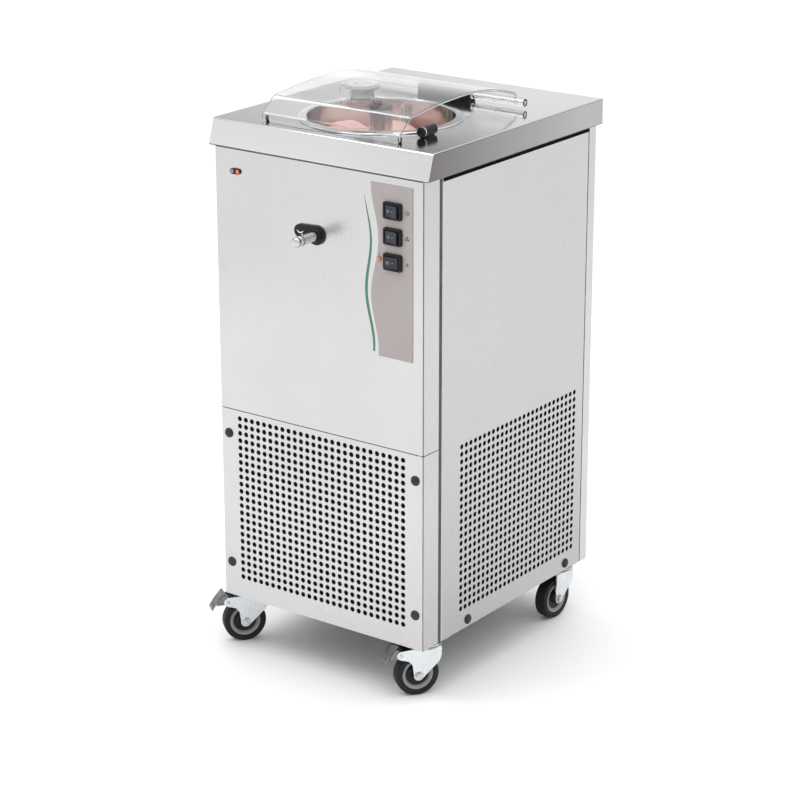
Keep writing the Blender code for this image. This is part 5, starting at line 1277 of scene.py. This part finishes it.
def make_lid():
    """The bent clear sheet, and its two hinge bars."""
    outer = lid_outline()
    edge = 0.0006
    bm = bmesh.new()
    rings = []
    for x, inset in ((-LID_HALF, edge), (-LID_HALF + edge, 0.0), (LID_HALF - edge, 0.0), (LID_HALF, edge)):
        near = offset_line(outer, inset)
        far = offset_line(outer, LID_SHEET - inset)
        rings.append([bm.verts.new((x, y, z)) for y, z in near + far[::-1]])
    join_rings(bm, rings)
    count = len(rings[0])
    for ring in (rings[0], rings[-1]):
        for i in range(len(outer) - 1):
            bm.faces.new((ring[i], ring[i + 1], ring[count - 2 - i], ring[count - 1 - i]))
    lid = piece("lid_sheet", bm, "clear", "lid", ["lid_cover"], "clear_plastic", 40.0)
    # painted highlight: whiter finish on the lid's side edges
    paint_faces(lid, "clear_edge_highlight", lambda face: abs(face.normal.x) > 0.9)
    cutter = bmesh.new()
    near = own(BLOCK_HIGH).x + 0.0010
    add_box(cutter, (-near, HINGE.y - 0.0130, TOP - 0.01), (near, HINGE.y + 0.03, TOP + 0.08))
    carve(lid, cutter)
    chute = own((CHUTE_LOW + CHUTE_HIGH) / 2)
    drill(lid, CHUTE_PIPE + 0.0002, 0.08, 0.02, 48, (0, chute.y, TOP))

    reach = own(LID_HIGH).x
    for side, name in ((-1, "left"), (1, "right")):
        bm = bmesh.new()
        outline = []
        for aside, up, start in ((-0.001, -0.001, 180), (0.001, -0.001, 270), (0.001, 0.0012, 0),
                                 (-0.001, 0.0012, 90)):
            outline += arc(HINGE.y + aside, HINGE.z + up, 0.0058, start, start + 90, 5)
        matrix = Matrix(((0, 0, 1, near if side > 0 else -reach), (1, 0, 0, 0), (0, 1, 0, 0), (0, 0, 0, 1)))
        add_prism(bm, outline, reach - near, matrix, 0.0012, 3)
        bar = piece(f"hinge_bar_{name}", bm, "clear", "lid", slot="clear_plastic")
        drill(bar, 0.0034, reach + 0.01, near - 0.01, 20, (0, HINGE.y, HINGE.z), (side, 0, 0))


def make_hinge():
    """The black hinge block, and the lid's small bumpers."""
    low = own(BLOCK_LOW)
    high = own(BLOCK_HIGH)
    bm = bmesh.new()
    corner = 0.006
    outline = [(low.y, low.z), (high.y, low.z), (high.y, high.z - corner)]
    outline += arc(high.y - corner, high.z - corner, corner, 0, 90, 5)
    outline += arc(low.y + corner, high.z - corner, corner, 90, 180, 5)
    matrix = Matrix(((0, 0, 1, low.x), (1, 0, 0, 0), (0, 1, 0, 0), (0, 0, 0, 1)))
    add_prism(bm, outline, high.x - low.x, matrix, 0.0010, 2)
    block = piece("hinge_body", bm, "black", stands_for=["hinge_block"], slot="black_plastic")
    drill(block, 0.0033, 0.2, -0.2, 20, (0, HINGE.y, HINGE.z), (1, 0, 0))
    for name in ("left", "right"):
        low, high = (own(p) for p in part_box(f"lid_bumper_{name}"))
        middle = (low + high) / 2
        radius = (high.x - low.x) / 2
        profile = [(0, high.z), (radius * 0.6, high.z - 0.0003), (radius * 0.9, high.z - 0.0014),
                   (radius, high.z - 0.0030), (radius, low.z + 0.0006), (radius * 0.85, low.z), (0, low.z)]
        turned(f"bumper_{name}", "black", profile, 28, (middle.x, middle.y, 0),
               stands_for=[f"lid_bumper_{name}"], slot="black_plastic")


def make_chute():
    """The frosted filling tube with its flange, and the loose cap with a pull tab."""
    chute = own((CHUTE_LOW + CHUTE_HIGH) / 2)
    low = CHUTE_LOW.z
    high = CHUTE_HIGH.z
    flange = (CHUTE_HIGH.x - CHUTE_LOW.x) / 2
    outer = CHUTE_PIPE
    inner = 0.0180
    profile = [(inner, high - 0.0004), (inner + 0.0006, high), (flange - 0.0008, high),
               (flange, high - 0.0008),
               (flange, high - 0.0026), (flange - 0.0008, high - 0.0034), (outer + 0.0014, high - 0.0034),
               (outer, high - 0.0048), (outer, low + 0.0006), (outer - 0.0006, low), (inner, low)]
    turned("chute_tube", "frosted", profile, 64, (0, chute.y, 0), body="lid", stands_for=["filling_chute"],
           slot="clear_plastic")

    base = high + GAP
    thick = 0.003
    disc = 0.0290
    profile = [(0, base + 0.0012), (0.0120, base + 0.0012), (0.0150, base + 0.0020), (0.0165, base + thick),
               (disc - 0.0020, base + thick), (disc, base + thick - 0.0010), (disc, base), (0.0172, base),
               (0.0172, base - 0.009), (0.0168, base - 0.0098), (0.0156, base - 0.0098),
               (0.0152, base - 0.009),
               (0.0152, base - 0.0012), (0, base - 0.0012)]
    bm = bmesh.new()
    add_turned(bm, profile, 64, (0, chute.y, 0))
    direction = math.radians(208.0)
    width = 0.0058
    line = [(disc - 0.0040, base + thick - 0.0008), (0.0335, base + thick - 0.0008),
            (0.0358, base + thick - 0.0014),
            (0.0372, base + 0.0002), (0.0395, base - 0.0070), (0.0412, base - 0.0150)]
    under = [(r - 0.0016, z - 0.0012) for r, z in line]
    matrix = Matrix.Translation((0, chute.y, 0)) @ Matrix.Rotation(direction, 4, "Z")
    matrix = matrix @ Matrix(((1, 0, 0, 0), (0, 0, 1, -width), (0, 1, 0, 0), (0, 0, 0, 1)))
    add_prism(bm, line + under[::-1], 2 * width, matrix, 0.0004, 2)
    piece("cap_disc", bm, "frosted", "chute_cap", ["chute_cap"], "clear_plastic")


def make_sensor():
    """The lid sensor: a black barrel with a pale ring near its front, on a low saddle."""
    low, high = (own(p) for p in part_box("lid_sensor"))
    radius = (high.x - low.x) / 2
    level = high.z - radius
    length = high.y - low.y
    x = (low.x + high.x) / 2
    bm = bmesh.new()
    profile = [(0, length - 0.0010), (radius * 0.55, length - 0.0010), (radius * 0.62, length),
               (radius - 0.0010, length),
               (radius, length - 0.0010), (radius, length - 0.0052), (radius - 0.0006, length - 0.0056),
               (radius - 0.0006, length - 0.0078), (radius, length - 0.0082), (radius, 0.0012),
               (radius - 0.0012, 0), (0, 0)]
    add_turned(bm, profile, 40, (x, high.y, level), (0, -1, 0))
    add_soft_box(bm, (x - 0.0052, low.y + 0.006, low.z), (x + 0.0052, high.y - 0.004, level), 0.0010, 2)
    piece("sensor_body", bm, "black", stands_for=["lid_sensor"], slot="black_plastic")
    proud = radius + 0.00005
    profile = [(radius - 0.0004, 0.0018), (proud, 0.0014), (proud, 0.0004), (radius - 0.0004, 0.0),
               (radius - 0.0014, 0.0009)]
    turned("sensor_ring", "mark", profile, 40, (x, low.y + 0.0076, level), (0, -1, 0), slot="black_plastic")


# ---------------------------------------------------------------- castors
TRAIL = 0.022
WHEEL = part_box("castor_wheel_front_left")[1].z / 2
AXLE_DROP = UNDER - WHEEL
CHEEK_INNER = 0.0145
CHEEK = 0.0025
BRAKE_PIVOT = (0.055, -0.019)
CASTORS = ("front_left", "front_right", "back_left", "back_right")


def castor_matrix(name):
    """The fork's own frame: X to the side its wheel trails on, Z up, origin on the swivel axis at the
    body's underside."""
    axis = own(JOINTS[f"swivel_{name}"]["pos_m"])
    wheel = own(JOINTS[f"roll_{name}"]["pos_m"])
    turn = math.atan2(wheel.y - axis.y, wheel.x - axis.x)
    return Matrix.Translation(axis) @ Matrix.Rotation(turn, 4, "Z")


SIDEWAYS = Matrix(((1, 0, 0, 0), (0, 0, 1, 0), (0, 1, 0, 0), (0, 0, 0, 1)))


def make_castor_mount(name):
    """The fixed upper race: a domed cup with a rolled lip under a neck."""
    low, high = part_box(f"castor_mount_{name}")
    radius = (high.x - low.x) / 2
    matrix = castor_matrix(name)
    bm = bmesh.new()
    profile = [(0, -0.0002), (0.0120, -0.0002), (0.0125, -0.0020), (radius - 0.0060, -0.0024),
               (radius - 0.0024, -0.0034),
               (radius - 0.0006, -0.0052), (radius - 0.0006, -0.0064), (radius - 0.0020, -0.0072),
               (radius - 0.0060, -0.0076), (0.0120, -0.0088), (0, -0.0088)]
    add_turned(bm, profile, 48, matrix=matrix)
    stem = 0.0109
    add_turned(bm, [(0, stem), (0.0052, stem), (0.0060, stem - 0.001), (0.0060, 0.0), (0, 0.0)], 20,
               matrix=matrix)
    piece(f"castor_race_{name}", bm, "zinc", stands_for=[f"castor_mount_{name}"], slot="zinc_plate")


def cheek_outline(braked):
    """One fork cheek seen from the side, as (along, up) points."""
    top = -0.0096
    points = [(-0.0205, top), (-0.0210, top - 0.012), (-0.0195, top - 0.022), (-0.0160, top - 0.029)]
    points += arc(TRAIL, -AXLE_DROP, 0.0095, 212, 372, 10)
    if braked:
        points += [(TRAIL + 0.0120, -0.0400), (TRAIL + 0.0190, -0.0320)]
        points += arc(*BRAKE_PIVOT, 0.0080, -65, 95, 8)
        points += [(TRAIL + 0.0180, -0.0102)]
    else:
        points += [(TRAIL + 0.0100, -0.0440), (TRAIL + 0.0080, -0.0260)]
    points += [(TRAIL + 0.0070, top)]
    return points


def make_fork(name):
    """The swivelling fork: a pressed crown, two cheeks with soft edges, the axle's nuts and the brake's
    pin heads."""
    braked = f"brake_pedal_{name}" in frame["nodes"]
    matrix = castor_matrix(name)
    body = f"castor_{name}"
    bm = bmesh.new()
    outer = CHEEK_INNER + CHEEK
    for side in (-1, 1):
        start = CHEEK_INNER if side > 0 else -outer
        place = matrix @ Matrix.Translation((0, start, 0)) @ SIDEWAYS
        add_prism(bm, cheek_outline(braked), CHEEK, place, 0.0007, 2)
    end = TRAIL + 0.0070
    outline = arc(-0.0010, 0, 0.0235, 130, 230, 14) + [(0.0100, -outer), (end, -outer), (end, outer),
                                                       (0.0100, outer)]
    add_prism(bm, outline, 0.0030, matrix @ Matrix.Translation((0, 0, -0.0124)), 0.0010, 3)
    dish = [(0, -0.0093), (0.0180, -0.0093), (0.0222, -0.0098), (0.0236, -0.0110), (0.0226, -0.0124),
            (0, -0.0124)]
    add_turned(bm, dish, 40, matrix=matrix)
    piece(f"fork_{name}", bm, "zinc", body, [f"castor_fork_{name}"], "zinc_plate")
    bm = bmesh.new()
    hexagon = arc(0, 0, 0.0068, 0, 300, 5)
    for side in (-1, 1):
        hub = matrix @ Matrix.Translation((TRAIL, side * outer, -AXLE_DROP)) @ turn_to((0, side, 0))
        add_turned(bm, [(0, 0.0006), (0.0085, 0.0006), (0.0092, 0.0), (0.0092, -0.0002), (0, -0.0002)], 32,
                   matrix=hub)
        add_prism(bm, hexagon, 0.0040, hub @ Matrix.Translation((0, 0, 0.0005)), 0.0006, 2)
        add_turned(bm, [(0, 0.0060), (0.0030, 0.0060), (0.0038, 0.0052), (0.0038, 0.0), (0, 0.0)], 20,
                   matrix=hub)
        if braked:
            place = Matrix.Translation((BRAKE_PIVOT[0], side * outer, BRAKE_PIVOT[1]))
            head = [(0, 0.0012), (0.0024, 0.0011), (0.0034, 0.0004), (0.0034, -0.0002), (0, -0.0002)]
            add_turned(bm, head, 20, matrix=matrix @ place @ turn_to((0, side, 0)))
    piece(f"fork_bolts_{name}", bm, "turned", body, slot="zinc_plate")


def make_wheel(name):
    """The wheel: a round-shouldered tyre, a paler rim ring, and a dark dished web with its hub."""
    wheel = own(JOINTS[f"roll_{name}"]["pos_m"])
    direction = Vector(JOINTS[f"roll_{name}"]["axis"])
    half = 0.012
    place = Matrix.Translation(wheel) @ turn_to(direction)

    def both(points):
        return points + [(r, -z) for r, z in reversed(points)]

    given = {"body": f"wheel_{name}", "slot": "castor_rubber"}
    shoulder = 0.0042
    tread = [(WHEEL, 0.0030), (WHEEL - 0.0002, half - 0.0060)]
    tread += arc(WHEEL - shoulder, half - shoulder, shoulder, 0, 78, 6)[1:]
    tread += [(0.0300, half - 0.0004), (0.0292, half - 0.0016)]
    turned(f"tyre_{name}", "tyre", both(tread[::-1]), 72, matrix=place, stands_for=[f"castor_wheel_{name}"],
           sharp=30.0, **given)
    rim = [(0.0215, half - 0.0052), (0.0232, half - 0.0030), (0.0250, half - 0.0014),
           (0.0284, half - 0.0012),
           (0.0296, half - 0.0030)]
    turned(f"rim_{name}", "rim", both(rim), 64, matrix=place, sharp=40.0, **given)
    web = [(0.0046, half + 0.0009), (0.0088, half + 0.0009), (0.0098, half), (0.0112, half - 0.0056),
           (0.0140, half - 0.0066), (0.0190, half - 0.0064), (0.0219, half - 0.0050)]
    turned(f"hub_{name}", "black", both(web), 64, matrix=place, sharp=40.0, **given)


def make_pedal(name):
    """The brake pedal: a bent tread plate with ribs on a barrel between the cheeks, and its shoe."""
    matrix = castor_matrix(name) @ Matrix.Translation((BRAKE_PIVOT[0], 0, BRAKE_PIVOT[1]))
    body = f"brake_{name}"
    bm = bmesh.new()
    half = 0.0126
    top = (0.0092, 0.0158)
    tip = (0.0300, -0.0120)

    def along(share):
        return top[0] + (tip[0] - top[0]) * share, top[1] + (tip[1] - top[1]) * share

    line = [(0.0052, 0.0172), (0.0075, 0.0168), top]
    for k in range(1, 8):
        x, z = along(k / 8)
        line.append((x + 0.0010 * math.sin(math.pi * k / 8), z))
    line += [tip, (0.0306, -0.0142)]
    back = offset_line(line, 0.0026)
    place = matrix @ Matrix.Translation((0, -half, 0)) @ SIDEWAYS
    add_prism(bm, line + back[::-1], 2 * half, place, 0.0007, 2)
    for k in range(4):
        x, z = along(0.30 + 0.17 * k)
        rib = matrix @ Matrix.Translation((x + 0.0014, 0, z + 0.0002))
        path = [rib @ Vector((0, y, 0)) for y in (-0.0088, -0.0078, 0.0078, 0.0088)]
        add_bar(bm, path, (0.0003, 0.0009, 0.0009, 0.0003), 10)
    piece(f"pedal_{name}", bm, "pedal", body, [f"brake_pedal_{name}"], "zinc_plate")
    bm = bmesh.new()
    inner = CHEEK_INNER - 0.0004
    flank = [(-0.0050, -0.0048), (0.0000, -0.0068), (0.0060, -0.0056), (0.0218, -0.0060), (0.0150, 0.0065),
             (0.0078, 0.0125), (0.0010, 0.0068), (-0.0050, 0.0048)]
    thick = 0.0022
    for start in (-inner, inner - thick):
        add_prism(bm, flank, thick, matrix @ Matrix.Translation((0, start, 0)) @ SIDEWAYS, 0.0006, 2)
    shoe = []
    for radius, angle in ((0.0050, 218), (0.0110, 238), (0.0132, 247), (0.0132, 260), (0.0100, 272),
                          (0.0050, 290)):
        shoe.append((radius * math.cos(math.radians(angle)), radius * math.sin(math.radians(angle))))
    aside = 0.0025
    place = matrix @ Matrix.Translation((0, -inner + aside, 0)) @ SIDEWAYS
    add_prism(bm, shoe, 2 * (inner - aside), place, 0.0008, 2)
    barrel = [(0.0031, inner), (0.0062, inner), (0.0062, -inner), (0.0031, -inner)]
    add_turned(bm, barrel, 32, matrix=matrix @ turn_to((0, 1, 0)))
    piece(f"pedal_cam_{name}", bm, "pedal", body, slot="zinc_plate")


# ---------------------------------------------------------------- carried-over solids
def finish_cad_nodes():
    """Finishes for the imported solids. Those named here show as they are: the frame, the drive and the
    refrigeration unit. The rest are stood for by pieces."""
    chosen = {
        "base_frame": "frame", "bowl_insulation": "foam", "evaporator_coil": "copper",
        "suction_pipe": "copper", "discharge_pipe": "copper", "liquid_line": "copper",
        "drive_bracket": "zinc", "drive_shaft": "turned",
        # the condenser's near-black fins are partly painted shade for the grille's holes
        "gearbox": "alloy", "motor": "alloy", "condenser": "fins", "fan": "alloy", "fan_shroud": "enamel",
        "fan_motor": "enamel", "compressor": "enamel", "electric_box": "black", "power_inlet": "black",
        "hinge_pin": "turned",
    }
    for name, node in frame["nodes"].items():
        node.data.materials.clear()
        node.data.materials.append(LOOKS[chosen.get(name, "panel")])


# ---------------------------------------------------------------- stage, light and camera
def make_stage():
    """A pale floor that reaches past the horizon."""
    bm = bmesh.new()
    reach = 60.0
    bm.faces.new([bm.verts.new((x * reach, y * reach, 0)) for x, y in ((-1, -1), (1, -1), (1, 1), (-1, 1))])
    mesh = bpy.data.meshes.new("floor")
    bm.to_mesh(mesh)
    bm.free()
    floor = bpy.data.objects.new("floor", mesh)
    bpy.context.scene.collection.objects.link(floor)
    mesh.materials.append(finish("floor_paint", (0.86, 0.86, 0.86), (0.90, 0.90, 0.90), (0.55, 0.65), 0.0,
                                 (1, 1, 1), 30.0, 0.02, 0.0005, 0.5))


def make_world():
    """A white studio: bright all round, with a darker band above the horizon for the steel to mirror."""
    world = bpy.data.worlds.new("studio")
    bpy.context.scene.world = world
    world.use_nodes = True
    tree = world.node_tree
    tree.nodes.clear()
    out = tree.nodes.new("ShaderNodeOutputWorld")
    back = tree.nodes.new("ShaderNodeBackground")
    where = tree.nodes.new("ShaderNodeTexCoord")
    split = tree.nodes.new("ShaderNodeSeparateXYZ")
    ramp = tree.nodes.new("ShaderNodeValToRGB")
    tree.links.new(where.outputs["Generated"], split.inputs["Vector"])
    tree.links.new(split.outputs["Z"], ramp.inputs["Fac"])
    stops = ((0.0, 0.98), (0.20, 1.02), (0.28, 0.62), (0.38, 0.60), (0.50, 0.85), (0.62, 1.42), (1.0, 1.47))
    elements = ramp.color_ramp.elements
    while len(elements) < len(stops):
        elements.new(0.5)
    for element, (at, value) in zip(elements, stops):
        element.position = at
        element.color = (value, value, value * 1.005, 1.0)
    tree.links.new(ramp.outputs["Color"], back.inputs["Color"])
    back.inputs["Strength"].default_value = 1.0
    tree.links.new(back.outputs["Background"], out.inputs["Surface"])


def add_softbox(name, place, size, power):
    """A rectangular lamp that looks at the machine's middle."""
    light = bpy.data.lights.new(name, "AREA")
    light.shape = "RECTANGLE"
    light.size, light.size_y = size
    light.energy = power
    obj = bpy.data.objects.new(name, light)
    bpy.context.scene.collection.objects.link(obj)
    obj.location = place
    obj.rotation_euler = (Vector((0, 0, 0.6)) - Vector(place)).to_track_quat("-Z", "Y").to_euler()


def make_lights():
    """A key light from the front left and a wide overhead one."""
    add_softbox("key", (-1.9, -2.1, 4.4), (2.0, 1.6), 40.0)
    add_softbox("overhead", (0.3, 0.2, 3.6), (2.6, 2.6), 30.0)


CAMERA_AZIMUTH = 36.267
CAMERA_ELEVATION = 19.083
CAMERA_ROLL = -0.055
CAMERA_LENS = 115.24
CAMERA_OFFSET = (2.3966, -3.3338, 1.8890)   # from the body's front right bottom corner


def make_camera():
    """A long lens that looks at the machine from its front right, a little from above."""
    data = bpy.data.cameras.new("camera")
    data.lens = CAMERA_LENS
    data.sensor_width = 36.0
    data.clip_start = 0.1
    data.clip_end = 200.0
    camera = bpy.data.objects.new("camera", data)
    bpy.context.scene.collection.objects.link(camera)
    camera.location = Vector((CENTRE + HALF, FACE, UNDER)) + Vector(CAMERA_OFFSET)
    azimuth = math.radians(CAMERA_AZIMUTH)
    elevation = math.radians(CAMERA_ELEVATION)
    level = math.cos(elevation)
    ahead = Vector((-math.sin(azimuth) * level, math.cos(azimuth) * level, -math.sin(elevation)))
    roll = Matrix.Rotation(math.radians(CAMERA_ROLL), 4, "Z")
    camera.rotation_euler = (ahead.to_track_quat("-Z", "Y").to_matrix().to_4x4() @ roll).to_euler()
    bpy.context.scene.camera = camera


# ---------------------------------------------------------------- build
finish_cad_nodes()
make_front_panels()
make_side_panels()
make_front_shade_sheet()
make_rim_shadow_strips()
make_caps()
make_back_panel()
make_worktop()
make_plate()
for number in (1, 2, 3):
    make_switch(number)
make_icons()
make_lamps()
make_bowl()
make_gelato()
make_paddle()
make_drain()
make_lid()
make_hinge()
make_chute()
make_sensor()
for castor in CASTORS:
    make_castor_mount(castor)
    make_fork(castor)
    make_wheel(castor)
    if f"brake_pedal_{castor}" in frame["nodes"]:
        make_pedal(castor)
make_stage()
make_world()
make_lights()
make_camera()
bpy.context.scene.view_settings.view_transform = "Standard"
